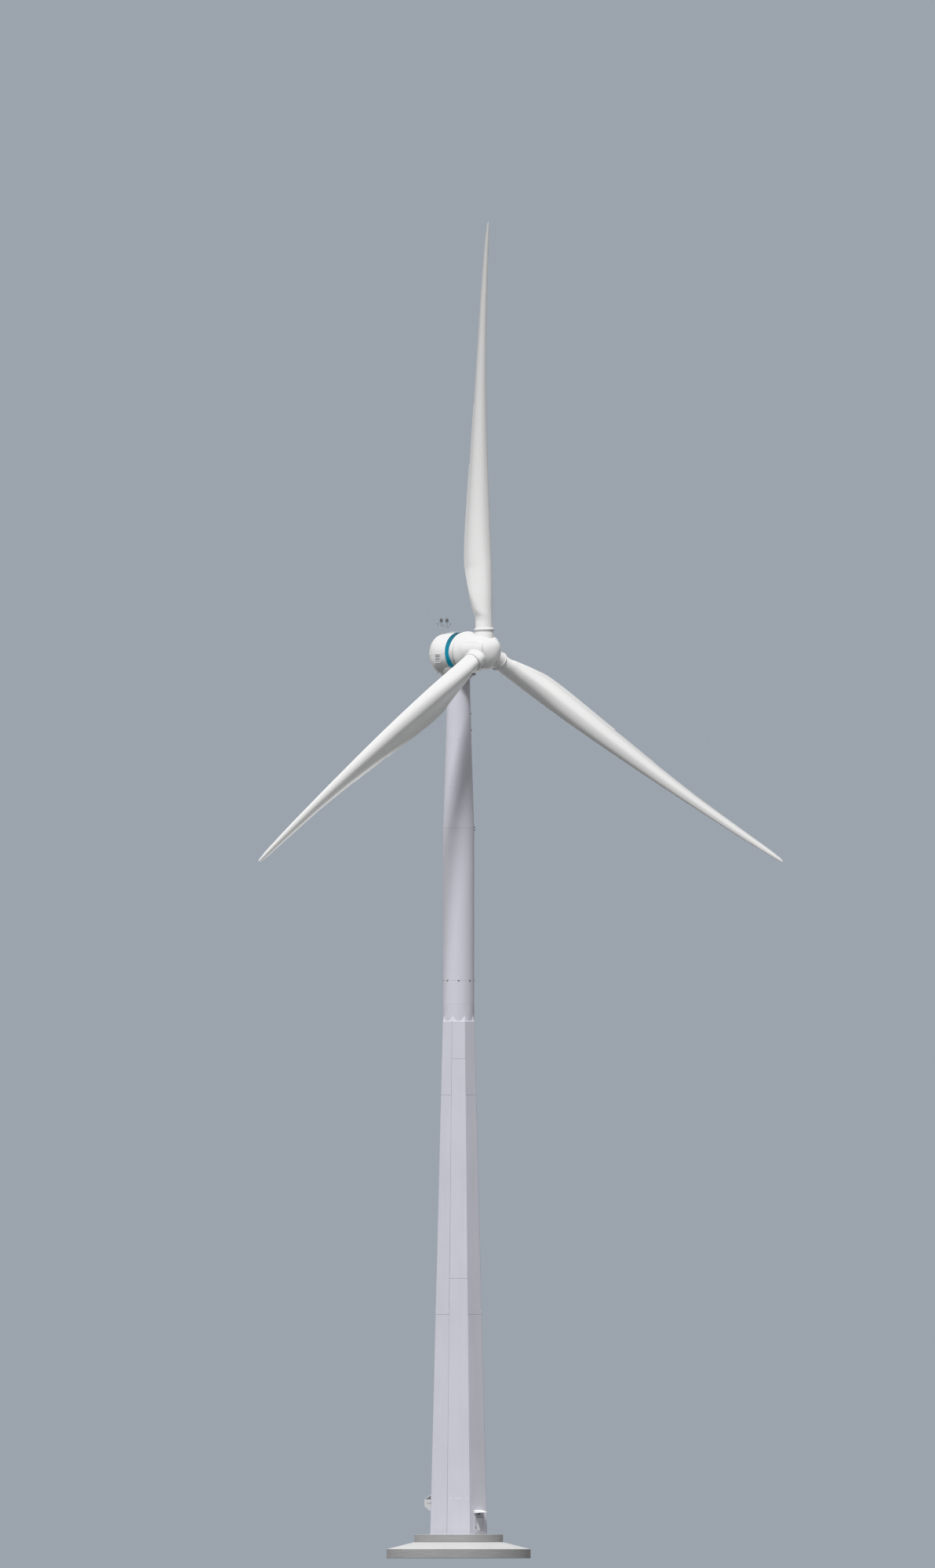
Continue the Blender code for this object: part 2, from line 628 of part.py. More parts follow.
def turn_cone(solid):
    """Leans a solid along +Z forward by the cone angle."""
    for vertex in solid.verts:
        x, y, z = vertex.co
        vertex.co = (
            x,
            y * math.cos(CONE_ANGLE) - z * math.sin(CONE_ANGLE),
            y * math.sin(CONE_ANGLE) + z * math.cos(CONE_ANGLE),
        )


def blade_section(radius, chord, thickness, twist, ahead):
    """A closed section: an ellipse at the root that turns into an aerofoil as it gets thinner."""
    sharp = min(1.0, max(0.0, (0.95 - thickness) / 0.55))
    share_out = max(0.0, (radius - FLANGE_END) / (BLADE_TIP - FLANGE_END))
    prebend = -PREBEND * share_out**PREBEND_POWER
    ring = []
    for index in range(BLADE_POINTS):
        turn = 2 * math.pi * index / BLADE_POINTS
        share = 0.5 - 0.5 * math.cos(turn)
        round_half = 0.5 * math.sin(turn)
        foil_half = 1.30 * math.sqrt(share) * (1 - share) * (1 if turn < math.pi else -0.80)
        half = thickness * (round_half * (1 - sharp) + foil_half * sharp)
        forward = (ahead - share) * chord
        across = half * chord
        c, s = math.cos(math.radians(twist)), math.sin(math.radians(twist))
        ring.append((forward * c + across * s, prebend - forward * s + across * c, radius))
    return ring


def add_blades(white, rotor_axis):
    foot = SOCKET_END + SEAT_GAP
    rings = [
        blade_section(foot, 2 * FLANGE_RADIUS, 1.0, 0.0, 0.5),
        blade_section(FLANGE_END, 2 * FLANGE_RADIUS, 1.0, 0.0, 0.5),
        blade_section(FLANGE_END, 2 * ROOT_RADIUS, 1.0, 0.0, 0.5),
        blade_section(ROOT_CYLINDER_END, 2 * ROOT_RADIUS, 1.0, 0.0, 0.5),
    ]
    rings += [blade_section(*station) for station in BLADE_STATIONS]
    for number, azimuth in enumerate(BLADE_AZIMUTHS, 1):
        azimuth_frame = axis_empty(
            f"blade_{number}_azimuth", (0, 0, 0), (0.0, math.radians(azimuth), 0.0), rotor_axis
        )
        pitch_axis = axis_empty(f"blade_{number}_pitch_axis", (0, 0, 0), (CONE_ANGLE, 0.0, 0.0), azimuth_frame)
        add_object(f"blade_{number}", loft(rings), white, pitch_axis)


def build():
    clear_scene()
    concrete = paint("tower_concrete", (0.56, 0.56, 0.61), 0.85)
    slab = paint("foundation_concrete", (0.30, 0.30, 0.29), 0.9)
    render = paint("foundation_render", (0.80, 0.80, 0.80), 0.9)
    steel = paint("tower_steel_paint", (0.72, 0.72, 0.76), 0.45)
    grey = paint("grey_paint", (0.30, 0.31, 0.33), 0.5)
    white = paint("shell_white", (0.86, 0.86, 0.85), 0.35)
    teal = paint("band_teal", (0.0, 0.21, 0.35), 0.35)
    lens = paint("lamp_lens", (0.25, 0.26, 0.27), 0.2)
    add_foundation(slab, render)
    add_concrete_tower(concrete)
    add_steel_tower(concrete, steel)
    add_doorway(steel, grey)
    add_wall_boxes(white)
    yaw_axis = axis_empty("yaw_axis", (0.0, 0.0, TOWER_TOP))
    rotor_axis = axis_empty(
        "rotor_axis", (0.0, HUB_CENTRE[1], HUB_CENTRE[2] - TOWER_TOP), (-SHAFT_TILT, 0.0, 0.0), yaw_axis
    )
    housing = add_nacelle(white, teal, grey, yaw_axis)
    seat_in_housing(housing, "roof_hatch", HATCH_LOW, HATCH_HIGH, white, yaw_axis)
    add_louvres(housing, grey, yaw_axis)
    add_mast(housing, grey, lens, yaw_axis)
    add_rotor(white, rotor_axis)
    add_blades(white, rotor_axis)


build()
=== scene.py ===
"""Wind turbine at a tenth of its real size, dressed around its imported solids.

Frame: metres, +Z up, origin at the centre of the foundation's underside, rotor nose towards -Y.
Lengths below are the full-size turbine's, in metres. shaped() makes every mesh a tenth of that.
"""

import math

import bmesh
import bpy
import numpy as np
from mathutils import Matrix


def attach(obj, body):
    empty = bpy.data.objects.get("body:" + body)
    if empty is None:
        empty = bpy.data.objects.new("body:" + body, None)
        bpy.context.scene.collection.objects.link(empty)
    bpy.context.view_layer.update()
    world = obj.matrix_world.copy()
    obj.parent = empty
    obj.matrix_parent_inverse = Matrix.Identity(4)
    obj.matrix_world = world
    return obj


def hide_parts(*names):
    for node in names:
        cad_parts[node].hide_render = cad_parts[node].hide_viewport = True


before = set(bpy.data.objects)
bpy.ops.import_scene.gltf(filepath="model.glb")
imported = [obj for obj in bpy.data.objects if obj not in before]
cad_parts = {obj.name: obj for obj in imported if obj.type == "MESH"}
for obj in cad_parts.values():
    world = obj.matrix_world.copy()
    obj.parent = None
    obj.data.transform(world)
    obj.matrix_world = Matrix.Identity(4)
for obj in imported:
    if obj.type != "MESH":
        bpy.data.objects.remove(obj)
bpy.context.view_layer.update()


# Foundation
# Three round slabs of reinforced concrete, cast one on the other on site. The rims of the lowest and
# the top one keep the marks of their board formwork; the slope between is floated smooth and sealed.
TENTH = 0.1
WELD = 1e-6
FOUNDATION_SIDES, FORMWORK_PANELS = 320, 40
FORMWORK_JOINT = 0.012
BASE_RADIUS, BASE_TOP = 9.985, 1.247
SLOPE_FOOT, SLOPE_HEAD = 1.25, 2.227
PEDESTAL_RADIUS, PEDESTAL_FOOT, PEDESTAL_TOP = 6.15, 2.23, 3.312
SLAB_ARRIS = 0.05


def xyz(x, y, z):
    """Points from three coordinates, which spread over one another."""
    return np.stack(np.broadcast_arrays(x, y, z), -1)


def full_turn(steps):
    """Even steps once round."""
    return np.linspace(0, 2 * np.pi, steps, endpoint=False)


def on_circle(turn, radius, height):
    """Points about the upright axis: x is radius times the turn's cosine, and y radius times its sine."""
    return xyz(radius * np.cos(turn), radius * np.sin(turn), height)


def grid(points, ring=True, loop=False):
    """Rows of points as four-sided faces. A ring joins each row's last point to its first, and a loop
    joins the last row to the first. A leading dimension holds copies, each with faces of its own."""
    rows, columns = points.shape[-3:-1]
    row = np.arange(rows if loop else rows - 1)[:, None]
    column = np.arange(columns if ring else columns - 1)[None, :]
    below, above = row * columns, (row + 1) % rows * columns
    after = (column + 1) % columns
    faces = np.stack((below + column, below + after, above + after, above + column), -1).reshape(-1, 4)
    copies = np.arange(points.size // (3 * rows * columns))[:, None, None] * rows * columns
    return points.reshape(-1, 3), (faces + copies).reshape(-1, 4)


def turned(profile, sides=192, loop=False, start=0.0, dip=None):
    """(radius, height) points carried round the upright axis. A dip gives, for each side, how far the
    radius is drawn in."""
    radius, height = np.transpose(np.asarray(profile, float))[:, :, None]
    if dip is not None:
        radius = np.where(radius > 0, radius - dip, 0)
    return grid(on_circle(start + full_turn(sides), radius, height), loop=loop)


def moved(part, turn=np.eye(3), place=(0, 0, 0)):
    """A part turned by a matrix, then carried to its place."""
    points, faces = part
    return points @ np.asarray(turn).T + np.asarray(place), faces


def repeated(part, turns, places):
    """Copies of a part, each carried to its own place. Each has its own turn, or all have the same."""
    points, faces = part
    places = np.asarray(places)
    turns = np.broadcast_to(turns, (len(places), 3, 3))
    copies = np.einsum("nij,pj->npi", turns, points) + places[:, None]
    return copies.reshape(-1, 3), (faces + len(points) * np.arange(len(places))[:, None, None]).reshape(-1, 4)


def shaped(name, parts, material, sharp=32):
    """One mesh of all the parts at a tenth of their size. Points that meet are welded, which also closes
    poles; faces are turned outwards, and edges bent by more than the sharp angle stay crisp."""
    starts = np.cumsum([0] + [len(points) for points, _ in parts])
    points = np.concatenate([points for points, _ in parts]) * TENTH
    faces = np.concatenate([faces + start for (_, faces), start in zip(parts, starts)])
    mesh = bpy.data.meshes.new(name)
    mesh.from_pydata(points.tolist(), [], faces.tolist())
    welded = bmesh.new()
    welded.from_mesh(mesh)
    bmesh.ops.remove_doubles(welded, verts=welded.verts, dist=WELD)
    bmesh.ops.recalc_face_normals(welded, faces=welded.faces)
    welded.to_mesh(mesh)
    welded.free()
    mesh.shade_smooth()
    mesh.set_sharp_from_angle(angle=math.radians(sharp))
    mesh.materials.append(material)
    piece = bpy.data.objects.new(name, mesh)
    bpy.context.scene.collection.objects.link(piece)
    return piece


def fit(piece, body, slot, *nodes):
    """Makes a piece ride on a body and stand for the CAD nodes named. The slot is not used."""
    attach(piece, body)
    if nodes:
        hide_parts(*nodes)


def feed(tree, node, inputs):
    """Fills a node's inputs. One that is given another node's output is linked, and the others are set."""
    for key, value in inputs.items():
        if isinstance(value, bpy.types.NodeSocket):
            tree.links.new(value, node.inputs[key])
        else:
            node.inputs[key].default_value = value


def add_node(tree, kind, inputs, **settings):
    """A shader node with its settings and its inputs."""
    node = tree.nodes.new(kind)
    for key, value in settings.items():
        setattr(node, key, value)
    feed(tree, node, inputs)
    return node


def effect(name, takes, gives):
    """An empty effect group that takes a place and the named values: its tree, inputs and output node."""
    tree = bpy.data.node_groups.new(name, "ShaderNodeTree")
    tree.interface.new_socket("Place", in_out="INPUT", socket_type="NodeSocketVector")
    for label, value in takes.items():
        kind = "NodeSocketVector" if isinstance(value, tuple) else "NodeSocketFloat"
        tree.interface.new_socket(label, in_out="INPUT", socket_type=kind).default_value = value
    for label in gives:
        tree.interface.new_socket(label, in_out="OUTPUT", socket_type="NodeSocketFloat")
    return tree, tree.nodes.new("NodeGroupInput").outputs, tree.nodes.new("NodeGroupOutput")


def object_place(tree):
    """The object's own coordinates."""
    here = tree.nodes.get("Object place") or add_node(tree, "ShaderNodeTexCoord", {}, name="Object place")
    return here.outputs["Object"]


def apply_effect(tree, group, **inputs):
    """Places an effect group in a material, fed with the object's own coordinates."""
    return add_node(tree, "ShaderNodeGroup", {"Place": object_place(tree), **inputs}, node_tree=group).outputs


def mottle_effect():
    """Cloudy tone: fractal noise spread to the full range. Its stretch squeezes the clouds upright."""
    tree, take, give = effect("cloudy_mottle", {"Scale": 8.0, "Stretch": (1.0, 1.0, 1.0)}, ("Mask",))
    squeeze = {0: take["Place"], 1: take["Stretch"]}
    spread = add_node(tree, "ShaderNodeVectorMath", squeeze, operation="MULTIPLY")
    noise = add_node(tree, "ShaderNodeTexNoise", {
        "Vector": spread.outputs[0], "Scale": take["Scale"], "Detail": 5.0, "Roughness": 0.6})
    wide = add_node(tree, "ShaderNodeMapRange", {"Value": noise.outputs[0], 1: 0.3, 2: 0.7})
    feed(tree, give, {"Mask": wide.outputs[0]})
    return tree


def cast_effect():
    """Cast concrete: fine grain, and small voids where bubbles sat against the mould."""
    tree, take, give = effect("cast_surface", {"Scale": 60.0, "Voids": 0.08}, ("Height", "Pits"))
    grain = add_node(tree, "ShaderNodeTexNoise", {
        "Vector": take["Place"], "Scale": take["Scale"], "Detail": 6.0, "Roughness": 0.7})
    cells = add_node(tree, "ShaderNodeTexVoronoi", {"Vector": take["Place"], "Scale": take["Scale"]})
    pits = add_node(tree, "ShaderNodeMapRange", {
        "Value": cells.outputs["Distance"], 1: take["Voids"], 2: 0.0, 3: 0.0, 4: 1.0})
    height = add_node(tree, "ShaderNodeMath", {0: grain.outputs[0], 1: pits.outputs[0]}, operation="SUBTRACT")
    feed(tree, give, {"Height": height.outputs[0], "Pits": pits.outputs[0]})
    return tree


cloudy_mottle = mottle_effect()
cast_surface = cast_effect()


def new_finish(name):
    """A material, its node tree and its Principled shader."""
    material = bpy.data.materials.new(name)
    material.use_nodes = True
    return material, material.node_tree, material.node_tree.nodes["Principled BSDF"]


def blended(tree, share, low, high):
    """A colour that goes from low to high with the share. Either end may be another node's output."""
    low, high = ((*end, 1) if isinstance(end, tuple) else end for end in (low, high))
    return add_node(tree, "ShaderNodeMix", {0: share, 6: low, 7: high}, data_type="RGBA").outputs[2]


def ranged(tree, value, low, high, start=0.0, end=1.0):
    """A value between start and end spread over low to high."""
    inputs = {"Value": value, 1: start, 2: end, 3: low, 4: high}
    return add_node(tree, "ShaderNodeMapRange", inputs).outputs[0]


def bumped(tree, height, strength, distance):
    """The normal that a height gives."""
    inputs = {"Height": height, "Strength": strength, "Distance": distance}
    return add_node(tree, "ShaderNodeBump", inputs).outputs[0]


def concrete_finish(name, dark, light, scale, stretch, grain, bump=0.35):
    """Concrete: two greys in clouds, darker pits, and a bump from its grain."""
    material, tree, shader = new_finish(name)
    clouds = apply_effect(tree, cloudy_mottle, Scale=scale, Stretch=stretch)["Mask"]
    cast = apply_effect(tree, cast_surface, Scale=grain)
    pitted = ranged(tree, cast["Pits"], 0.0, 0.35)
    feed(tree, shader, {
        "Base Color": blended(tree, pitted, blended(tree, clouds, dark, light), (0.10, 0.10, 0.10)),
        "Roughness": ranged(tree, clouds, 0.92, 0.8),
        "Normal": bumped(tree, cast["Height"], bump, 0.001),
        "Specular IOR Level": 0.3,
    })
    return material


board_marked = concrete_finish(
    "board_marked_concrete", (0.27, 0.27, 0.268), (0.35, 0.35, 0.347), 3.0, (1, 1, 30), 90)
sealed_slope = concrete_finish(
    "sealed_slope", (0.385, 0.385, 0.385), (0.42, 0.42, 0.42), 2.0, (1, 1, 1), 60, 0.15)


def slab(radius, bottom, top):
    """A round slab with a broken edge on both rims, drawn in at each joint between formwork panels."""
    at_joint = np.arange(FOUNDATION_SIDES) % (FOUNDATION_SIDES // FORMWORK_PANELS) == 0
    profile = [(0, bottom), (radius - SLAB_ARRIS, bottom), (radius, bottom + SLAB_ARRIS),
               (radius, top - SLAB_ARRIS), (radius - SLAB_ARRIS, top), (0, top)]
    return turned(profile, FOUNDATION_SIDES, dip=np.where(at_joint, FORMWORK_JOINT, 0.0))


base = slab(BASE_RADIUS, 0.0, BASE_TOP)
pedestal = slab(PEDESTAL_RADIUS, PEDESTAL_FOOT, PEDESTAL_TOP)
slope = turned([(0, SLOPE_FOOT), (BASE_RADIUS, SLOPE_FOOT), (BASE_RADIUS - 0.02, SLOPE_FOOT + 0.012),
                (PEDESTAL_RADIUS, SLOPE_HEAD), (0, SLOPE_HEAD)], FOUNDATION_SIDES)
fit(shaped("base_slab", [base], board_marked), "tower", "foundation_concrete", "foundation_base")
fit(shaped("pedestal_slab", [pedestal], board_marked), "tower", "foundation_concrete", "foundation_pedestal")
fit(shaped("slope_slab", [slope], sealed_slope), "tower", "foundation_render", "foundation_slope")

# Mortar plugs close the holes of the formwork ties on both rims, two to a panel.
PLUG_RADIUS, PLUG_HEIGHT = 0.05, 0.02
PLUG_ROWS = ((BASE_RADIUS - 0.009, 0.62), (PEDESTAL_RADIUS - 0.005, 2.77))


def turn_matrices(*entries):
    """Three-by-three matrices from nine arrays of entries, row by row."""
    return np.stack(np.broadcast_arrays(*entries), -1).reshape(-1, 3, 3)


def upright_turns(angles):
    """Matrices that turn a part about the upright axis."""
    c, s = np.cos(angles), np.sin(angles)
    return turn_matrices(c, -s, 0, s, c, 0, 0, 0, 1)


def outward_turns(angles):
    """Matrices that lay a part on the side of a tower: its own z points outwards and its y upwards."""
    c, s = np.cos(angles), np.sin(angles)
    return turn_matrices(-s, 0, c, c, 0, s, 0, 1, 0)


def button(radius, height, sides=16):
    """A low round stud with a broken rim, standing on its own origin."""
    rim = min(0.3 * height, 0.2 * radius)
    return turned([(0, 0), (radius, 0), (radius, height - rim), (radius - rim, height), (0, height)], sides)


tie_turns = np.pi / FORMWORK_PANELS * (np.arange(2 * FORMWORK_PANELS) + 0.5)
plugs = [
    repeated(button(PLUG_RADIUS, PLUG_HEIGHT), outward_turns(tie_turns), on_circle(tie_turns, radius, level))
    for radius, level in PLUG_ROWS
]
fit(shaped("tie_plugs", plugs, board_marked), "tower", "foundation_concrete")


# Eight-sided concrete tower
# Precast planks of light grey concrete, one to a facet, mitred along their long edges and stressed
# together. Corner planks start half a step later than side planks, so that the joints are staggered.
FACETS = 8
HALF_FACET = np.pi / FACETS
PLANK_FOOT, PLANK_HEAD = 3.315, 74.5
FOOT_APOTHEM, HEAD_APOTHEM = 3.95, 2.20
PLANK_WALL = 0.30
GROOVE = 0.05
SEAT = 0.003
SIDE_LEVELS = (PLANK_FOOT, 33.745, 64.175, PLANK_HEAD)
CORNER_LEVELS = (PLANK_FOOT, 38.745, 69.175, PLANK_HEAD)
DOORWAY_HALF, DOORWAY_TOP = 0.86, 5.80
PLACES = ("east", "northeast", "north", "northwest", "west", "southwest", "south", "southeast")


def facet_apothem(level):
    """Distance from the tower's axis to a facet: it shrinks evenly from the foot to the head."""
    share = (np.asarray(level) - PLANK_FOOT) / (PLANK_HEAD - PLANK_FOOT)
    return FOOT_APOTHEM + (HEAD_APOTHEM - FOOT_APOTHEM) * share


def on_facet(facet, outward, along, level):
    """Points on a facet: outward from the tower's axis, along the facet, and up."""
    c, s = math.cos(facet * 2 * HALF_FACET), math.sin(facet * 2 * HALF_FACET)
    return xyz(outward * c - along * s, outward * s + along * c, level)


def walled(front, back, present=None):
    """A wall between two grids of points. Cells that are absent leave a hole, and wherever a cell that is
    present meets one that is absent, or the rim, a strip joins the front to the back."""
    rows, columns = front.shape[0] - 1, front.shape[1] - 1
    present = np.ones((rows, columns), bool) if present is None else present
    number = np.arange((rows + 1) * (columns + 1)).reshape(rows + 1, columns + 1)
    r, c = np.nonzero(present)
    faces = [np.stack((number[r, c], number[r, c + 1], number[r + 1, c + 1], number[r + 1, c]), -1)]
    faces.append(faces[0][:, ::-1] + number.size)
    near = np.pad(present, 1)
    for step, first, second in (
        ((-1, 0), (0, 0), (0, 1)), ((1, 0), (1, 1), (1, 0)),
        ((0, -1), (1, 0), (0, 0)), ((0, 1), (0, 1), (1, 1)),
    ):
        beside = near[1 + step[0]:rows + 1 + step[0], 1 + step[1]:columns + 1 + step[1]]
        r, c = np.nonzero(present & ~beside)
        one, two = number[r + first[0], c + first[1]], number[r + second[0], c + second[1]]
        faces.append(np.stack((one, one + number.size, two + number.size, two), -1))
    used, faces = np.unique(np.concatenate(faces), return_inverse=True)
    return np.concatenate((front.reshape(-1, 3), back.reshape(-1, 3)))[used], faces.reshape(-1, 4)


def plank(facet, bottom, top, doorway=False):
    """One plank. Its outer face lies at the apothem and its long edges follow the mitre; all round, the
    outer edge is cut back by the groove, so that two planks meet in a V. A doorway adds a level and two
    upright edges, and leaves out the cells between them."""
    top -= SEAT
    level = np.array([bottom, bottom + GROOVE] + [DOORWAY_TOP] * doorway + [top - GROOVE, top])[:, None]
    side = np.array([-1, -1] + [-1, 1] * doorway + [1, 1])
    inset = np.array([0, GROOVE] + [np.nan, np.nan] * doorway + [GROOVE, 0])
    cut = np.zeros((len(level), len(side)))
    cut[[0, -1]] = GROOVE
    cut[:, [0, -1]] = GROOVE
    reach = facet_apothem(level)
    edge_reach = np.where(inset == 0, reach - GROOVE, reach)
    along, along_back = (
        np.where(np.isnan(inset), side * DOORWAY_HALF, side * (at * np.tan(HALF_FACET) - SEAT - inset))
        for at in (edge_reach, reach - PLANK_WALL)
    )
    present = np.ones((len(level) - 1, len(side) - 1), bool)
    if doorway:
        present[:2, 2] = False
    return walled(on_facet(facet, reach - cut, along, level),
                  on_facet(facet, reach - PLANK_WALL, along_back, level), present)


def levels_of(facet):
    """Levels at which a facet's planks begin and end."""
    return CORNER_LEVELS if facet % 2 else SIDE_LEVELS


def height_of(tree):
    """The height of each place on the object, in metres of the model."""
    return add_node(tree, "ShaderNodeSeparateXYZ", {0: object_place(tree)}).outputs[2]


def plank_finish():
    """Smooth precast concrete: cool light grey, faint upright streaks, and a darker band at the very foot."""
    material, tree, shader = new_finish("precast_concrete")
    clouds = apply_effect(tree, cloudy_mottle, Scale=1.6, Stretch=(1, 1, 0.5))["Mask"]
    streaks = apply_effect(tree, cloudy_mottle, Scale=14.0, Stretch=(1, 1, 0.03))["Mask"]
    cast = apply_effect(tree, cast_surface, Scale=85.0, Voids=0.09)
    tone = blended(tree, clouds, (0.541, 0.541, 0.60), (0.592, 0.592, 0.657))
    streaked = blended(tree, ranged(tree, streaks, 0.0, 0.2), tone, (0.463, 0.463, 0.52))
    foot_band = ranged(tree, height_of(tree), 0.45, 0.0, 0.34, 0.43)
    with_foot_band = blended(tree, foot_band, streaked, (0.44, 0.425, 0.495))
    feed(tree, shader, {
        "Base Color": blended(tree, ranged(tree, cast["Pits"], 0, 0.3), with_foot_band, (0.25, 0.25, 0.28)),
        "Roughness": ranged(tree, clouds, 0.85, 0.72),
        "Normal": bumped(tree, cast["Height"], 0.35, 0.001),
        "Specular IOR Level": 0.35,
    })
    return material


precast = plank_finish()
for facet, place in enumerate(PLACES):
    has_door = place == "south"
    low, high = levels_of(facet)[:2]
    walls = ("door_wall_left", "door_wall_right") if has_door else ()
    piece = shaped(f"plank_{place}_cast", [plank(facet, low, high, has_door)], precast)
    fit(piece, "tower", "tower_concrete", f"tower_plank_{place}", *walls)
for course, node in ((1, "tower_middle_course"), (2, "tower_top_course")):
    planks = [plank(facet, *levels_of(facet)[course:course + 2]) for facet in range(FACETS)]
    fit(shaped(f"{node}_planks", planks, precast), "tower", "tower_concrete", node)

# Every V between two planks is closed by a bead of grey elastic sealant, down the eight mitres and
# round each staggered joint. A mortar bed fills the seat of the tower on the pedestal.
BEAD = 0.036
BED_FOOT, BED_TOP, BED_INNER = 3.313, 3.375, 3.6


def crosswise(direction):
    """Unit directions across the given ones, level unless those are nearly upright."""
    across = np.cross(direction, np.where(np.abs(direction[:, 2:]) < 0.9, (0.0, 0.0, 1.0), (1.0, 0.0, 0.0)))
    return across / np.linalg.norm(across, axis=1, keepdims=True)


def rims_about(direction, radius, sides):
    """For each direction, a circle of points across it."""
    across = crosswise(direction)
    turn = full_turn(sides)[:, None]
    return radius * (across[:, None] * np.cos(turn) + np.cross(direction, across)[:, None] * np.sin(turn))


def rods(starts, ends, radius, sides=8):
    """Straight round bars: a circle across each bar at both ends, closed by poles."""
    starts, ends = np.atleast_2d(np.asarray(starts, float)), np.atleast_2d(np.asarray(ends, float))
    along = (ends - starts) / np.linalg.norm(ends - starts, axis=1, keepdims=True)
    rim = rims_about(along, radius, sides)
    near, far = starts[:, None] + 0 * rim, ends[:, None] + 0 * rim
    return grid(np.stack((near, near + rim, far + rim, far), 1))


def plain_finish(name, dark, light, roughness, scale=40.0, spread=0.06, stretch=(1, 1, 1), **inputs):
    """A coating of one colour that the weather has made slightly uneven in tone and gloss."""
    material, tree, shader = new_finish(name)
    clouds = apply_effect(tree, cloudy_mottle, Scale=scale, Stretch=stretch)["Mask"]
    feed(tree, shader, {
        "Base Color": blended(tree, clouds, dark, light),
        "Roughness": ranged(tree, clouds, roughness + spread, roughness - spread),
        **inputs,
    })
    return material


def groove_end(facet, side, level):
    """The bottom of the V at one side of a facet."""
    reach = facet_apothem(level) - GROOVE
    return on_facet(facet, reach, side * reach * math.tan(HALF_FACET), level)


sealant = plain_finish("joint_sealant", (0.32, 0.32, 0.36), (0.38, 0.38, 0.425), 0.6)
mitres = [[groove_end(facet, 1, level) for level in (PLANK_FOOT, PLANK_HEAD)] for facet in range(FACETS)]
joints = [[groove_end(facet, side, level) for side in (-1, 1)]
          for facet in range(FACETS) for level in levels_of(facet)[1:3]]
bead_starts, bead_ends = np.swapaxes(np.array(mitres + joints), 0, 1)
fit(shaped("joint_beads", [rods(bead_starts, bead_ends, BEAD, 10)], sealant), "tower", "tower_concrete")

bed_profile = np.array([(BED_INNER, BED_FOOT), (FOOT_APOTHEM + 0.09, BED_FOOT), (FOOT_APOTHEM + 0.08, 3.335),
                        (FOOT_APOTHEM + 0.005, BED_TOP), (BED_INNER, BED_TOP)])
bed_profile[:, 0] /= math.cos(HALF_FACET)
mortar = concrete_finish("bedding_mortar", (0.36, 0.35, 0.40), (0.44, 0.43, 0.48), 12.0, (1, 1, 1), 120)
bed = shaped("mortar_bed", [turned(bed_profile, FACETS, loop=True, start=HALF_FACET)], mortar, 25)
fit(bed, "tower", "foundation_render")

# Lifting pockets near the ends of the planks are filled with pale mortar once the tower stands. Corner
# planks have all of the places listed, and side planks the outer two.
SIDE_POCKETS, CORNER_POCKETS = 34.24, 8.29
POCKETS = ((-1.14, 0.13), (-0.35, 0.09), (-0.05, 0.09), (0.22, 0.09), (1.14, 0.13))
POCKET_HALF_HEIGHT, POCKET_SUNK, POCKET_PROUD = 0.05, 0.05, 0.004


def blocks(lows, highs, arris=0.01):
    """Upright blocks with every edge cut back by the arris: rings of eight points, drawn in at the foot
    and the head, and closed on the middle."""
    lows, highs = (np.atleast_2d(np.asarray(a, float))[:, None, None] for a in (lows, highs))
    middle, half = (lows + highs) / 2, (highs - lows) / 2
    sign_x, sign_y = np.array([1, 1, 1, -1, -1, -1, -1, 1.0]), np.array([-1, 1, 1, 1, 1, -1, -1, -1.0])
    cut_x = np.array([0, 0, 1, 1, 0, 0, 1, 1]) * arris
    open_row = np.array([0, 1, 1, 1, 1, 0])[:, None]
    drawn = np.array([0, 1, 0, 0, 1, 0])[:, None] * arris
    x = sign_x * (half[..., 0] - cut_x - drawn) * open_row
    y = sign_y * (half[..., 1] - (arris - cut_x) - drawn) * open_row
    end, cut_z = np.array([-1, -1, -1, 1, 1, 1])[:, None], np.array([0, 0, 1, -1, 0, 0])[:, None] * arris
    z = end * half[..., 2] + cut_z
    return grid(middle + xyz(x, y, z))


def facet_turn(facet):
    """Turns a part drawn on the east facet to another facet."""
    return upright_turns(np.array([facet * 2 * HALF_FACET]))[0]


pocket_mortar = plain_finish("pocket_mortar", (0.66, 0.66, 0.70), (0.74, 0.74, 0.78), 0.8)
fills = []
for facet in range(FACETS):
    level, pockets = (CORNER_POCKETS, POCKETS) if facet % 2 else (SIDE_POCKETS, (POCKETS[0], POCKETS[-1]))
    face = float(facet_apothem(level))
    along, half = np.transpose(pockets)
    fill = blocks(xyz(face - POCKET_SUNK, along - half, level - POCKET_HALF_HEIGHT),
                  xyz(face + POCKET_PROUD, along + half, level + POCKET_HALF_HEIGHT), 0.003)
    fills.append(moved(fill, facet_turn(facet)))
fit(shaped("pocket_fills", fills, pocket_mortar), "tower", "tower_concrete")


# Adapter ring
# One precast ring that leads from the eight-sided shell to the round steel tube. Each corner of the
# octagon runs out on the round in a small pyramid.
ADAPTER_TOP = 76.857
ADAPTER_HEIGHT = ADAPTER_TOP - PLANK_HEAD
ADAPTER_BORE = 1.86
BROACH = 0.80
TUBE_RADIUS = 2.16
RIM_ARRIS = 0.02
broach_apothem = HEAD_APOTHEM - GROOVE
ring_turn = full_turn(480)
off_facet = (ring_turn + HALF_FACET) % (2 * HALF_FACET) - HALF_FACET
ring_height = np.concatenate((np.linspace(0, 1.1 * BROACH, 34), (1.5, ADAPTER_HEIGHT - RIM_ARRIS)))[:, None]
drawn_in = (broach_apothem - TUBE_RADIUS * math.cos(HALF_FACET)) * ring_height / BROACH
ring_radius = np.maximum(TUBE_RADIUS, (broach_apothem - drawn_in) / np.cos(off_facet))
rim_rows = np.array([[TUBE_RADIUS - RIM_ARRIS], [ADAPTER_BORE], [ADAPTER_BORE]]) + 0 * ring_turn
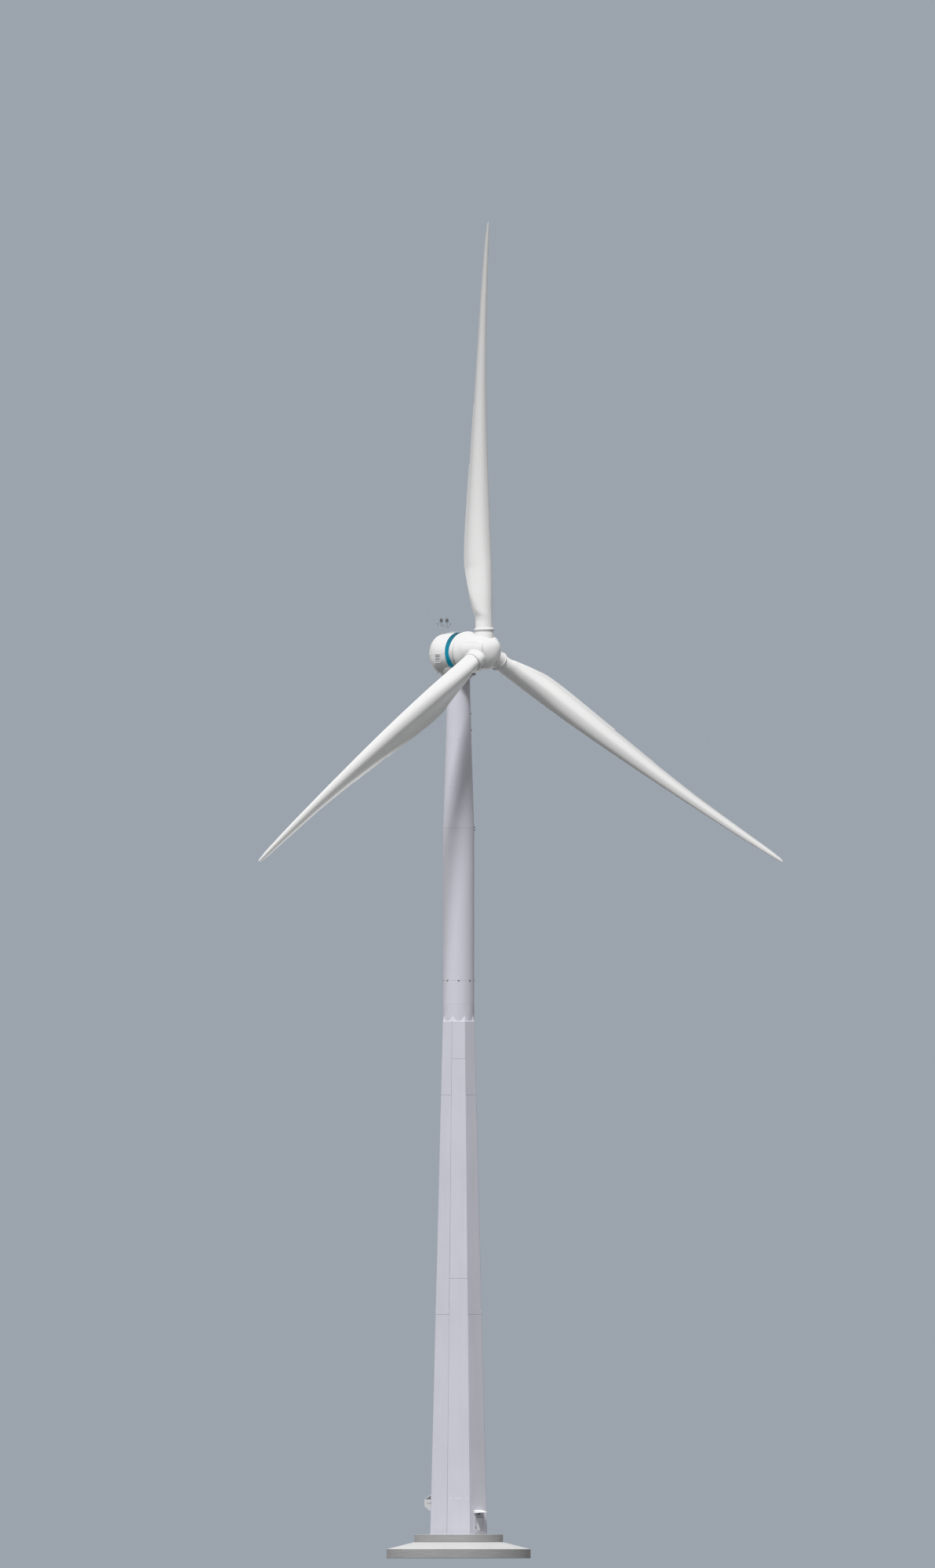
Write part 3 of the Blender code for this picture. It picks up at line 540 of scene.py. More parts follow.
ring_radius = np.concatenate((ring_radius, rim_rows))
ring_height = np.concatenate((ring_height, [[ADAPTER_HEIGHT], [ADAPTER_HEIGHT], [0.0]]))
adapter = grid(on_circle(ring_turn, ring_radius, PLANK_HEAD + ring_height), loop=True)
fit(shaped("adapter_cast", [adapter], precast, 14), "tower", "tower_concrete", "tower_adapter")


# Steel tower
# Rolled plate cans, welded end to end and painted light grey, in three lengths that bolt together on
# inner flanges. The joints show as fine lines, with lifting lugs and cable brackets outside.
STEEL_FOOT, FLANGE_LOW, FLANGE_HIGH = 76.86, 80.13, 101.25
TUBE_LEVELS = (ADAPTER_TOP, FLANGE_HIGH, 119.9, 122.047)
TUBE_RADII = (TUBE_RADIUS, TUBE_RADIUS, 1.57, 1.57)
TUBE_WALL = 0.04
CAN = 2.93
WELD_STEPS, WELD_PROUD = (-0.05, -0.025, 0.0, 0.025, 0.05), (0, 0, 0.008, 0, 0)
LUG_HALF_WIDTH, LUG_HALF_HEIGHT, LUG_DEPTH = 0.12, 0.08, 0.05
BRACKET_HALF_WIDTH, BRACKET_HALF_HEIGHT, BRACKET_DEPTH = 0.05, 0.10, 0.12
BRACKET_LEVELS = np.array([114.8, 117.1, 101.35, 100.95])


def tube_radius(level):
    """Outer radius of the steel tube: parallel, then an even taper, then parallel again."""
    return np.interp(level, TUBE_LEVELS, TUBE_RADII)


def steel_length(bottom, top):
    """A tube of cans: a low weld bead stands proud at each can's end, and both rims are broken."""
    welds = np.arange(bottom + CAN, top - 0.5 * CAN, CAN)
    across_weld = np.ravel(welds[:, None] + WELD_STEPS)
    foot, head = [bottom, bottom + 0.02, bottom + 0.06], [top - 0.06, top - 0.02, top]
    level = np.concatenate((foot, across_weld, head))
    proud = np.concatenate(([-0.02, 0, 0], np.tile(WELD_PROUD, len(welds)), [0, 0, -0.02]))
    outer = np.stack((tube_radius(level) + proud, level), -1)
    inner = np.stack((tube_radius([top, bottom]) - TUBE_WALL, (top, bottom)), -1)
    return turned(np.concatenate((outer, inner)), 160, loop=True)


def paint_finish():
    """Light grey tower paint: faint rain streaks and a little dust, satin gloss."""
    material, tree, shader = new_finish("tower_paint")
    clouds = apply_effect(tree, cloudy_mottle, Scale=1.2, Stretch=(1, 1, 0.4))["Mask"]
    streaks = apply_effect(tree, cloudy_mottle, Scale=22.0, Stretch=(1, 1, 0.02))["Mask"]
    tone = blended(tree, clouds, (0.556, 0.556, 0.616), (0.586, 0.586, 0.65))
    feed(tree, shader, {
        "Base Color": blended(tree, ranged(tree, streaks, 0, 0.12), tone, (0.485, 0.485, 0.541)),
        "Roughness": ranged(tree, streaks, 0.42, 0.55),
        "Specular IOR Level": 0.4,
    })
    return material


tower_paint = paint_finish()
for length, bottom, top in (
    ("lower", STEEL_FOOT, FLANGE_LOW - SEAT),
    ("middle", FLANGE_LOW, FLANGE_HIGH - SEAT),
    ("upper", FLANGE_HIGH, TUBE_LEVELS[-1]),
):
    piece = shaped(f"{length}_steel_length", [steel_length(bottom, top)], tower_paint)
    fit(piece, "tower", "tower_steel", f"steel_section_{length}")

dark_steel = plain_finish("dark_steel", (0.13, 0.135, 0.15), (0.18, 0.185, 0.20), 0.5, Metallic=0.3)
seal_profile = np.array([(-0.035, -0.025), (-0.010, -0.012), (-0.010, 0.012), (-0.035, 0.025)])
flange_seals = [
    turned(seal_profile + (TUBE_RADIUS, level), 160, loop=True) for level in (FLANGE_LOW, FLANGE_HIGH)]
fit(shaped("flange_seals", flange_seals, dark_steel), "tower", "grey_metal")

lug_turns, bracket_turns = np.arange(8) * np.pi / 4, np.full(4, -np.pi / 4)
lug = blocks((-LUG_HALF_WIDTH, -LUG_HALF_HEIGHT, -0.01), (LUG_HALF_WIDTH, LUG_HALF_HEIGHT, LUG_DEPTH), 0.02)
bracket = blocks((-BRACKET_HALF_WIDTH, -BRACKET_HALF_HEIGHT, -0.01),
                 (BRACKET_HALF_WIDTH, BRACKET_HALF_HEIGHT, BRACKET_DEPTH), 0.02)
fittings = [
    repeated(lug, outward_turns(lug_turns), on_circle(lug_turns, TUBE_RADIUS, FLANGE_LOW - 0.02)),
    repeated(bracket, outward_turns(bracket_turns),
             on_circle(bracket_turns, tube_radius(BRACKET_LEVELS), BRACKET_LEVELS)),
]
fit(shaped("tube_lugs", fittings, dark_steel), "tower", "grey_metal")


# Door, canopy and air box
# A steel door in a welded frame stands in the south plank. A folded white canopy keeps rain off it,
# and on the north-west plank hangs the air box that feeds the cooling of the tower's foot.
FRAME_FRONT, FRAME_BACK, FRAME_HALF, FRAME_TOP = -4.02, -3.56, 0.857, 5.794
JAMB_INNER, HEAD_FOOT, SILL_TOP = 0.78, 5.70, 3.37
COVER_HALF, COVER_TOP = 0.93, 5.86
LEAF_HALF, LEAF_LOW, LEAF_HIGH, LEAF_FRONT = 0.73, 3.40, 5.65, -4.02
LEAF_PANELS, PANEL_HALF, PRESSING = ((4.03, 4.55), (4.63, 5.49)), 0.531, 0.012
HINGE_X, HINGE_Y, HINGE_RADIUS = LEAF_HALF, -4.04, 0.04
HINGE_FEET, HINGE_TOPS = (3.348, 4.35, 5.30), (3.75, 4.75, 5.70)
VENT_FOOT, VENT_STEP, VENT_SLATS, VENT_HALF = 3.52, 0.055, 8, 0.45
LOCK_LOW, LOCK_HIGH = (-0.70, -4.06, 4.18), (-0.58, -4.0, 4.42)
LEVER_AXIS, LEVER_END, LEVER_Y, LEVER_LEVEL, LEVER_RADIUS = -0.64, -0.46, -4.068, 4.34, 0.014
door_paint = plain_finish("door_paint", (0.50, 0.50, 0.545), (0.54, 0.54, 0.585), 0.45, 30)
jambs = blocks(
    [(-FRAME_HALF, FRAME_FRONT, PLANK_FOOT), (JAMB_INNER, FRAME_FRONT, PLANK_FOOT),
     (-FRAME_HALF, FRAME_FRONT, HEAD_FOOT), (-JAMB_INNER, FRAME_FRONT, PLANK_FOOT)],
    [(-JAMB_INNER, FRAME_BACK, HEAD_FOOT), (FRAME_HALF, FRAME_BACK, HEAD_FOOT),
     (FRAME_HALF, FRAME_BACK, FRAME_TOP), (JAMB_INNER, FRAME_BACK, SILL_TOP)], 0.008)
hinge_lugs = blocks(xyz(0.69, -4.10, (PLANK_FOOT, 5.703)), xyz(0.82, -4.0, (3.345, 5.755)), 0.006)
architrave = blocks(
    [(-COVER_HALF, -4.0, 3.34), (FRAME_HALF, -4.0, 3.34), (-COVER_HALF, -4.0, FRAME_TOP)],
    [(-FRAME_HALF, -3.85, FRAME_TOP), (COVER_HALF, -3.85, FRAME_TOP), (COVER_HALF, -3.83, COVER_TOP)], 0.008)
door_frame = shaped("door_frame_welded", [jambs, hinge_lugs, architrave], door_paint)
fit(door_frame, "tower", "door_steel", "door_frame")


def pressed_plate(across, up, depth, front, thickness):
    """A plate in the wall's plane whose front steps in and out by the depth given at each crossing."""
    x, z = np.meshgrid(across, up)
    return walled(xyz(x, front + depth, z), xyz(x, front + thickness, z))


leaf_across = np.array([-LEAF_HALF, -0.715, -0.55, -0.53, 0.53, 0.55, 0.715, LEAF_HALF])
leaf_up = np.array([LEAF_LOW, 3.415, 4.02, 4.04, 4.62, 4.64, 5.48, 5.50, 5.635, LEAF_HIGH])
in_panel = np.any([(leaf_up > low) & (leaf_up < high) for low, high in LEAF_PANELS], axis=0)[:, None]
in_panel = in_panel & (np.abs(leaf_across) <= PANEL_HALF)
on_rim = (np.abs(leaf_across) > 0.72) | ((leaf_up < 3.41) | (leaf_up > 5.64))[:, None]
leaf_depth = PRESSING * in_panel + PRESSING * on_rim
leaf_plate = pressed_plate(leaf_across, leaf_up, leaf_depth, LEAF_FRONT, 0.08)
slat_levels = VENT_FOOT + VENT_STEP * np.arange(VENT_SLATS)
slats = blocks(xyz(-VENT_HALF, -4.035, slat_levels), xyz(VENT_HALF, -4.0, slat_levels + 0.03), 0.006)
barrels = rods(xyz(HINGE_X, HINGE_Y, HINGE_FEET), xyz(HINGE_X, HINGE_Y, HINGE_TOPS), HINGE_RADIUS, 16)
strap_levels = np.array((3.45, 5.42))
straps = blocks(xyz(0.48, -4.035, strap_levels), xyz(LEAF_HALF, -4.01, strap_levels + 0.10), 0.006)
leaf = shaped("door_leaf_pressed", [leaf_plate, slats, barrels, straps], door_paint)
fit(leaf, "door", "door_steel", "door_leaf")

lock_case = blocks(LOCK_LOW, LOCK_HIGH, 0.012)
lever = rods([(LEVER_AXIS, -4.05, LEVER_LEVEL), (LEVER_AXIS, LEVER_Y, LEVER_LEVEL)],
             [(LEVER_AXIS, -4.07, LEVER_LEVEL), (LEVER_END, LEVER_Y, LEVER_LEVEL)], LEVER_RADIUS, 12)
fit(shaped("door_lock", [lock_case, lever], dark_steel), "door", "grey_metal")

# The canopy: seams stand up from its sloping sheet, and its edges turn down.
CANOPY_HALF, CANOPY_FRONT, CANOPY_LIP = 0.85, -4.82, 6.28
CANOPY_REAR_LEVEL, CANOPY_FRONT_LEVEL = 6.68, 6.36
CANOPY_SEAMS, SHEET_THICKNESS = (0.40, 0.43, 0.02), 0.06
LAMP_LOW, LAMP_HIGH = (-0.18, -4.14, 6.05), (0.18, -3.88, 6.20)
canopy_white = plain_finish("coated_sheet", (0.78, 0.78, 0.78), (0.84, 0.84, 0.84), 0.35, 20)
wall_y = -float(facet_apothem(6.5))
half_across = np.array((0.02, 0.40, 0.43, 0.82, CANOPY_HALF))
canopy_across = np.concatenate((-half_across[::-1], half_across))
seam = np.where(np.isin(np.abs(canopy_across), CANOPY_SEAMS), 0.0, -0.02)
across, out = np.meshgrid(canopy_across, (wall_y, -4.2, -4.5, -4.76, CANOPY_FRONT))
roof_z = np.interp(-out, (-wall_y, -CANOPY_FRONT), (CANOPY_REAR_LEVEL, CANOPY_FRONT_LEVEL)) + seam
under_z = np.where((np.abs(across) < 0.81) & (out > -4.7), roof_z - SHEET_THICKNESS, CANOPY_LIP)
sheet = walled(xyz(across, out, roof_z), xyz(across, out, under_z))
canopy = shaped("canopy_folded", [sheet], canopy_white, 25)
fit(canopy, "tower", "canopy_sheet", "door_canopy")
gutter = rods((-CANOPY_HALF, -4.80, 6.30), (CANOPY_HALF, -4.80, 6.30), 0.028, 12)
lamp_body = blocks(LAMP_LOW, LAMP_HIGH, 0.02)
fit(shaped("canopy_trim", [gutter, lamp_body], dark_steel), "tower", "grey_metal")

# The air box: light sheet cheeks, dark slats on the sloping lid, an intake and two cable glands.
AIR_HALF, AIR_DEPTH = 0.65, 0.93
AIR_TOP, AIR_LID, AIR_FLOOR, AIR_FOOT = 8.86, 8.16, 7.17, 6.47
LID_SLATS, GLAND_LEVEL, GLAND_RADIUS = 7, 7.66, 0.07
air_turn = facet_turn(PLACES.index("northwest"))
air_reach = float(facet_apothem(AIR_TOP))
box_outline = np.array([(air_reach, AIR_TOP), (air_reach + AIR_DEPTH, AIR_LID),
                        (air_reach + AIR_DEPTH, AIR_FLOOR), (facet_apothem(AIR_FOOT), AIR_FOOT)])
intake_outline = np.array([(3.86, 8.70), (4.60, 8.17), (3.86, 8.17)])


def facet_prism(outline, along, arris=0.02):
    """A prism lying along a facet: its outline of (outward, level) points, drawn in at both ends."""
    middle = outline.mean(0)
    place = np.array((-along, -along, -along + arris, along - arris, along, along))[:, None]
    size = np.array((0.0, 1 - arris, 1.0, 1.0, 1 - arris, 0.0))[:, None, None]
    drawn = middle + (outline - middle) * size
    return grid(xyz(drawn[..., 0], place, drawn[..., 1]))


def turn_about_y(angle):
    """Matrix that turns a part about the y axis."""
    c, s = math.cos(angle), math.sin(angle)
    return np.array(((c, 0, s), (0, 1, 0), (-s, 0, c)))


box_grey = plain_finish("air_box_sheet", (0.50, 0.50, 0.51), (0.57, 0.57, 0.58), 0.45, 20)
air_box = shaped("air_box_folded", [moved(facet_prism(box_outline, AIR_HALF), air_turn)], box_grey, 20)
fit(air_box, "tower", "canopy_sheet", "air_box")
gland_x = np.array((3.93, 4.26))
glands = rods(xyz(gland_x, -AIR_HALF - 0.03, GLAND_LEVEL),
              xyz(gland_x, AIR_HALF + 0.03, GLAND_LEVEL), GLAND_RADIUS, 14)
down_lid = np.linspace(0.12, 0.88, LID_SLATS)[:, None]
lid_places = np.array((air_reach, 0, AIR_TOP)) + down_lid * (AIR_DEPTH, 0, AIR_LID - AIR_TOP)
lid_turn = turn_about_y(math.atan2(AIR_TOP - AIR_LID, AIR_DEPTH))
lid_slats = repeated(blocks((-0.03, -0.56, -0.02), (0.03, 0.56, 0.022), 0.006), lid_turn, lid_places)
air_parts = [facet_prism(intake_outline, AIR_HALF + 0.012, 0.01), glands, lid_slats]
intake = shaped("air_box_intake", [moved(part, air_turn) for part in air_parts], dark_steel)
fit(intake, "tower", "grey_metal")


# Yaw bearing
# Under the nacelle the tower ends in a bolted flange. On it turns a toothed steel ring that the yaw
# drives push round, covered by a grey skirt.
TOWER_TOP, FLANGE_TOP, FLANGE_RADIUS = 122.05, 122.30, 1.78
YAW_FOOT, YAW_TOP, YAW_RADIUS, YAW_BORE = 122.303, 122.56, 1.75, 1.47
YAW_TEETH, TOOTH_DEPTH = 120, 0.05
SKIRT_FOOT, SKIRT_RADIUS = 122.26, 2.45
FLANGE_BOLTS, BOLT_CIRCLE = 90, 1.68
flange_profile = [(FLANGE_RADIUS, TOWER_TOP), (FLANGE_RADIUS, 122.28), (1.76, FLANGE_TOP), (1.50, FLANGE_TOP),
                  (1.50, TOWER_TOP)]
flange = shaped("top_flange_ring", [turned(flange_profile, 160, loop=True)], tower_paint)
fit(flange, "tower", "tower_steel", "tower_top_flange")


def hex_nut(width, height, stud=0.4):
    """A nut on its own origin: six-sided rings up to a broken rim, and a stud end above."""
    profile = [(0, 0), (1, 0), (1, 0.85), (0.86, 1), (0.5, 1), (0.5, 1 + stud), (0, 1 + stud)]
    return turned([(r * width, h * height) for r, h in profile], 6)


zinc = plain_finish("zinc_plate", (0.42, 0.43, 0.45), (0.56, 0.57, 0.59), 0.38, 200, Metallic=0.8)
bolt_turns = full_turn(FLANGE_BOLTS)
hung = upright_turns(bolt_turns) @ np.diag((1.0, -1.0, -1.0))
bolts = repeated(hex_nut(0.035, 0.05), hung, on_circle(bolt_turns, BOLT_CIRCLE, TOWER_TOP))
fit(shaped("top_flange_bolts", [bolts], zinc), "tower", "bare_steel")

gear_steel = plain_finish("oiled_steel", (0.26, 0.26, 0.27), (0.36, 0.36, 0.37), 0.35, 60, Metallic=0.7)
tooth = np.where(np.arange(4 * YAW_TEETH) % 4 < 2, 0.0, TOOTH_DEPTH)
ring_profile = [(YAW_RADIUS, YAW_FOOT), (YAW_RADIUS, YAW_TOP), (YAW_BORE, YAW_TOP), (YAW_BORE, YAW_FOOT)]
gear = shaped("yaw_gear", [turned(ring_profile, 4 * YAW_TEETH, loop=True, dip=tooth)], gear_steel)
fit(gear, "nacelle", "bare_steel", "yaw_ring")

skirt_grey = plain_finish("skirt_paint", (0.27, 0.265, 0.27), (0.33, 0.32, 0.325), 0.5, 20)
skirt_profile = [(2.05, SKIRT_FOOT), (SKIRT_RADIUS - 0.02, SKIRT_FOOT + 0.24),
                 (SKIRT_RADIUS, SKIRT_FOOT + 0.26), (SKIRT_RADIUS, YAW_TOP), (1.95, YAW_TOP),
                 (1.95, SKIRT_FOOT)]
skirt = shaped("yaw_skirt_cover", [turned(skirt_profile, 192, loop=True)], skirt_grey, 20)
fit(skirt, "nacelle", "grey_metal", "yaw_skirt")


# Nacelle housing
# A closed shell of glass fibre in white gel coat, rounded at the rear, with a soft crease at shaft
# height where its upper and lower halves are bolted together.
SHAFT_TILT = math.radians(4.1)
HUB_CENTRE = np.array((0.0, -5.1, 125.8))
SHELL_RADIUS, SHELL_HALF_HEIGHT, SHELL_DEPTH = 2.92, 3.05, 4.42
SHELL_FRONT = 4.903
SECTION_POWER, BELLY_POWER, END_POWER, CREASE = 2.8, 3.0, 3.4, 0.16
SHELL_SIDES = 176
LOUVRE_LOW, LOUVRE_HIGH = (0.72, 124.22), (1.68, 125.28)


def turn_about_x(angle):
    """Matrix that turns a part about the x axis."""
    c, s = math.cos(angle), math.sin(angle)
    return np.array(((1, 0, 0), (0, c, -s), (0, s, c)))


def on_shaft(part):
    """Carries a part drawn along the level shaft to the tilted shaft's place."""
    return moved(part, turn_about_x(-SHAFT_TILT), HUB_CENTRE)


def about_shaft(station, turn, reach):
    """Points about the level shaft: the turn counts from the top, and the station backwards along it."""
    return xyz(reach * np.sin(turn), station, reach * np.cos(turn))


def shell_points(share, turn):
    """The housing's surface. The share runs from the band to the rear: the girth shrinks as a power of
    its cosine while the depth grows as one of its sine. Each ring is a circle that soon becomes a
    rounded box, and the rear is pulled in above and below shaft height, which leaves the crease. The
    belly is a little squarer than the roof."""
    angle = share * np.pi / 2
    girth, back = np.cos(angle) ** (2 / END_POWER), np.sin(angle) ** (2 / END_POWER)
    settled = np.minimum(1, 3 * share)
    power = 2 + (np.where(np.cos(turn) < 0, BELLY_POWER, SECTION_POWER) - 2) * settled
    half_height = SHELL_RADIUS + (SHELL_HALF_HEIGHT - SHELL_RADIUS) * settled
    wide, tall = np.abs(np.sin(turn)) / SHELL_RADIUS, np.abs(np.cos(turn)) / half_height
    radius = girth * (wide**power + tall**power) ** (-1 / power)
    pulled_in = CREASE * np.abs(radius * np.cos(turn)) / SHELL_HALF_HEIGHT
    return about_shaft(SHELL_FRONT + SHELL_DEPTH * back * (1 - pulled_in), turn, radius)


def multiplied(tree, one, other):
    """The product of two masks."""
    return add_node(tree, "ShaderNodeMath", {0: one, 1: other}, operation="MULTIPLY").outputs[0]


def gel_finish(name, colour, dirt, dirt_share=0.10, roughness=0.32, painted_shade=0.0, shade_levels=(0, 1), **inputs):
    """Gel coat on glass fibre: even colour, a breath of dust in clouds and runs, and a clear gloss. Painted
    shade darkens it from the second of two levels to the first, up to the share given."""
    material, tree, shader = new_finish(name)
    clouds = apply_effect(tree, cloudy_mottle, Scale=2.5)["Mask"]
    runs = apply_effect(tree, cloudy_mottle, Scale=30.0, Stretch=(1, 1, 0.08))["Mask"]
    dusty = multiplied(tree, clouds, runs)
    dusted = blended(tree, ranged(tree, dusty, 0, dirt_share), colour, dirt)
    # Painted shade: between the two levels the colour is blended towards near black.
    shade_share = ranged(tree, height_of(tree), painted_shade, 0.0, *shade_levels)
    feed(tree, shader, {
        "Base Color": blended(tree, shade_share, dusted, (0.012, 0.012, 0.012)),
        "Roughness": ranged(tree, dusty, roughness, roughness + 0.15),
        "Coat Weight": 0.25,
        "Coat Roughness": 0.15,
        **inputs,
    })
    return material


def capped(rows):
    """Rows of points with a pole added at each end, in the middle of the end row."""
    poles = np.broadcast_to(rows[[0, -1]].mean(1, keepdims=True), (2, *rows.shape[1:]))
    return np.concatenate((poles[:1], rows, poles[1:]))


def cut_away(piece, *cutters):
    """Cuts closed tool shapes out of a piece's mesh for good."""
    for cutter in cutters:
        modifier = piece.modifiers.new(cutter.name, "BOOLEAN")
        modifier.object, modifier.operation, modifier.solver = cutter, "DIFFERENCE", "EXACT"
    bpy.context.view_layer.update()
    cut = bpy.data.meshes.new_from_object(piece.evaluated_get(bpy.context.evaluated_depsgraph_get()))
    piece.modifiers.clear()
    piece.data = cut
    for cutter in cutters:
        bpy.data.objects.remove(cutter)


gel_white = gel_finish("gel_coat_white", (0.80, 0.80, 0.79), (0.52, 0.52, 0.50))
# The housing's gel coat carries painted shade towards the belly: from 124.7 m down to 122.5 m the colour
# darkens.
housing_white = gel_finish(
    "housing_gel_coat", (0.72, 0.72, 0.715), (0.46, 0.46, 0.45), 0.16, 0.32, 0.80, (12.25, 12.47))
shares = (np.linspace(0, 1, 44) ** 1.1 * 0.9985)[:, None]
shell_part = on_shaft(grid(capped(shell_points(shares, full_turn(SHELL_SIDES)))))
shell = shaped("housing_shell", [shell_part], housing_white, 28)
recess_radius, recess_top = SKIRT_RADIUS + SEAT, YAW_TOP + SEAT
recess_profile = [(0, 120), (recess_radius, 120), (recess_radius, recess_top), (0, recess_top)]
tools = [shaped("recess_tool", [turned(recess_profile, 192)], gel_white)]
for side in (-1, 1):
    hole = blocks((side * 2.8 - 0.3, *LOUVRE_LOW), (side * 2.8 + 0.3, *LOUVRE_HIGH), 0.01)
    tools.append(shaped("louvre_tool", [hole], gel_white))
cut_away(shell, *tools)
fit(shell, "nacelle", "shell_white", "nacelle_housing")

# A neck closes the space between the skirt and the belly. A flat bulkhead closes it behind the rotor.
NECK_RISE, NECK_FRONT, NECK_HALF = 1.35, -1.50, 1.80
neck_turns = full_turn(192)
neck_radius = np.array((2.36, 2.33, 2.25, 2.25))[:, None]
neck_growth = np.clip((neck_radius * np.sin(neck_turns) - NECK_FRONT) / 0.15, 0, 1)
neck_level = YAW_TOP - 0.01 + np.array((0, 1, 1, 0))[:, None] * (0.02 + NECK_RISE * neck_growth)
neck_ring = grid(on_circle(neck_turns, neck_radius, neck_level), loop=True)
bulkhead = blocks((-NECK_HALF, NECK_FRONT - 0.02, YAW_TOP - 0.02),
                  (NECK_HALF, NECK_FRONT + 0.04, YAW_TOP + NECK_RISE))
# The neck takes the housing's gel coat, so it lies wholly in that painted shade.
fit(shaped("housing_neck", [neck_ring, bulkhead], housing_white, 20), "nacelle", "shell_white")

# Raised seams where the shell's halves and its rear cap are flanged together.
SIDE_SEAMS = ((4.905, 5.74), (6.98, 9.31))
REAR_SEAM_SHARE = 0.52


def tube(path, radius, sides=8, loop=False):
    """A round bead along a path: at each point a circle across the path's direction there."""
    ahead = np.roll(path, -1, 0) - np.roll(path, 1, 0) if loop else np.gradient(path, axis=0)
    rims = path[:, None] + rims_about(ahead / np.linalg.norm(ahead, axis=1, keepdims=True), radius, sides)
    return grid(rims, loop=True) if loop else grid(capped(rims))


def share_at(station):
    """The share at which the shell's crease reaches a station."""
    return np.arcsin(((station - SHELL_FRONT) / SHELL_DEPTH) ** (END_POWER / 2)) * 2 / np.pi


seams = [
    on_shaft(tube(shell_points(share_at(np.linspace(*ends, 40)), side * np.pi / 2), 0.012))
    for side in (-1, 1) for ends in SIDE_SEAMS
]
seams.append(on_shaft(tube(shell_points(np.full(160, REAR_SEAM_SHARE), full_turn(160)), 0.010, loop=True)))
seam_grey = gel_finish("seam_white", (0.62, 0.62, 0.62), (0.42, 0.42, 0.42), 0.3, 0.45)
fit(shaped("housing_seams", seams, seam_grey), "nacelle", "shell_white")


# Band and front ring
# A teal painted band circles the shell behind a plain white ring, which reaches forward to the narrow
# gap that the rotor runs in. The axle passes the gap.
LIP_FRONT, BAND_FRONT, BAND_REAR = 3.50, 4.24, 4.90
AXLE_BORE = 0.83
FLARE, PAINT_DEPTH = 0.50, 0.004


def lathe(profile, loop=False):
    """(radius, station) points carried round the shaft, with the station counted backwards along it."""
    points, faces = turned(profile, 216, loop)
    return on_shaft((points[:, [0, 2, 1]], faces))


# The band's paint carries painted shade on its upper part: from 123.4 m up to 128.2 m the colour darkens.
teal = gel_finish("band_teal", (0.0, 0.36, 0.55), (0.01, 0.37, 0.55), 0.2, 0.5, 0.85, (12.82, 12.34),
                  **{"Coat Weight": 0.0, "Specular IOR Level": 0.08})
band_profile = [(0, BAND_FRONT), (2.87, BAND_FRONT), (2.905, BAND_FRONT + 0.02),
                (SHELL_RADIUS, BAND_REAR - 0.02), (2.90, BAND_REAR), (0, BAND_REAR)]
# The paint runs on over the ring in front, further the further it is from shaft height.
paint_turns = full_turn(216)
paint_front = BAND_FRONT - 0.04 - FLARE * np.abs(np.cos(paint_turns)) ** 1.2
paint_station = np.stack((paint_front, 0 * paint_front + BAND_FRONT + 0.03))[[0, 1, 1, 0]]
ring_slope = 0.035 / 0.65
ring_surface = 2.86 + ring_slope * (paint_station - LIP_FRONT - 0.06)
paint_radius = ring_surface + np.array([[1], [1], [-3], [-3]]) * PAINT_DEPTH
paint = on_shaft(grid(about_shaft(paint_station, paint_turns, paint_radius), loop=True))
fit(shaped("band_painted", [lathe(band_profile), paint], teal), "nacelle", "band_teal", "nacelle_band")

lip_profile = [(AXLE_BORE, LIP_FRONT), (2.80, LIP_FRONT), (2.845, LIP_FRONT + 0.02), (2.86, LIP_FRONT + 0.06),
               (2.895, BAND_FRONT - 0.03), (2.87, BAND_FRONT - SEAT), (AXLE_BORE, BAND_FRONT - SEAT)]
# The ring's gel coat carries painted shade on its lower part: from 126.6 m down to 123.5 m the colour
# darkens.
ring_white = gel_finish(
    "ring_gel_coat", (0.72, 0.72, 0.715), (0.50, 0.50, 0.49), 0.12, 0.32, 0.55, (12.35, 12.66))
lip = shaped("front_ring_moulded", [lathe(lip_profile, loop=True)], ring_white)
fit(lip, "nacelle", "shell_white", "nacelle_front_ring")
rubber = plain_finish("black_rubber", (0.03, 0.03, 0.03), (0.05, 0.05, 0.05), 0.7)
brush_profile = [(2.68, LIP_FRONT - 0.06), (2.80, LIP_FRONT - 0.06), (2.80, LIP_FRONT), (2.68, LIP_FRONT)]
fit(shaped("rotor_gap_brush", [lathe(brush_profile, loop=True)], rubber), "nacelle", "grey_metal")
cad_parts["main_shaft"].data.materials[0] = gear_steel


# Side louvres, roof and underside
# Cooling air enters by a framed louvre on each side. On the roof are an access hatch, anchor eyes for
# harnesses and a low rail; underneath, a service hatch for the chain hoist.
LOUVRE_FRAME_LOW, LOUVRE_FRAME_HIGH = (0.65, 124.14), (1.75, 125.36)
LOUVRE_BAR, LOUVRE_SILL = 0.085, 0.08
LOUVRE_SLATS, SLAT_TILT = 5, math.radians(40)
LOUVRE_FACE, LOUVRE_SEAT, CHAMBER_FACE, CHAMBER_REAR, SLAT_X = 2.95, 2.69, 2.70, 2.60, 2.845
LID_LOW, LID_HIGH = (-0.65, 0.05, 128.15), (0.65, 1.15, 128.46)
CURB_LOW, CURB_HIGH = (-0.70, 0.0, 128.12), (0.70, 1.20, 128.38)
grey_coat = plain_finish("grey_coat", (0.30, 0.31, 0.33), (0.38, 0.39, 0.41), 0.5, 60)
louvre_white = plain_finish("louvre_sheet", (0.55, 0.55, 0.56), (0.62, 0.62, 0.63), 0.45, 30)


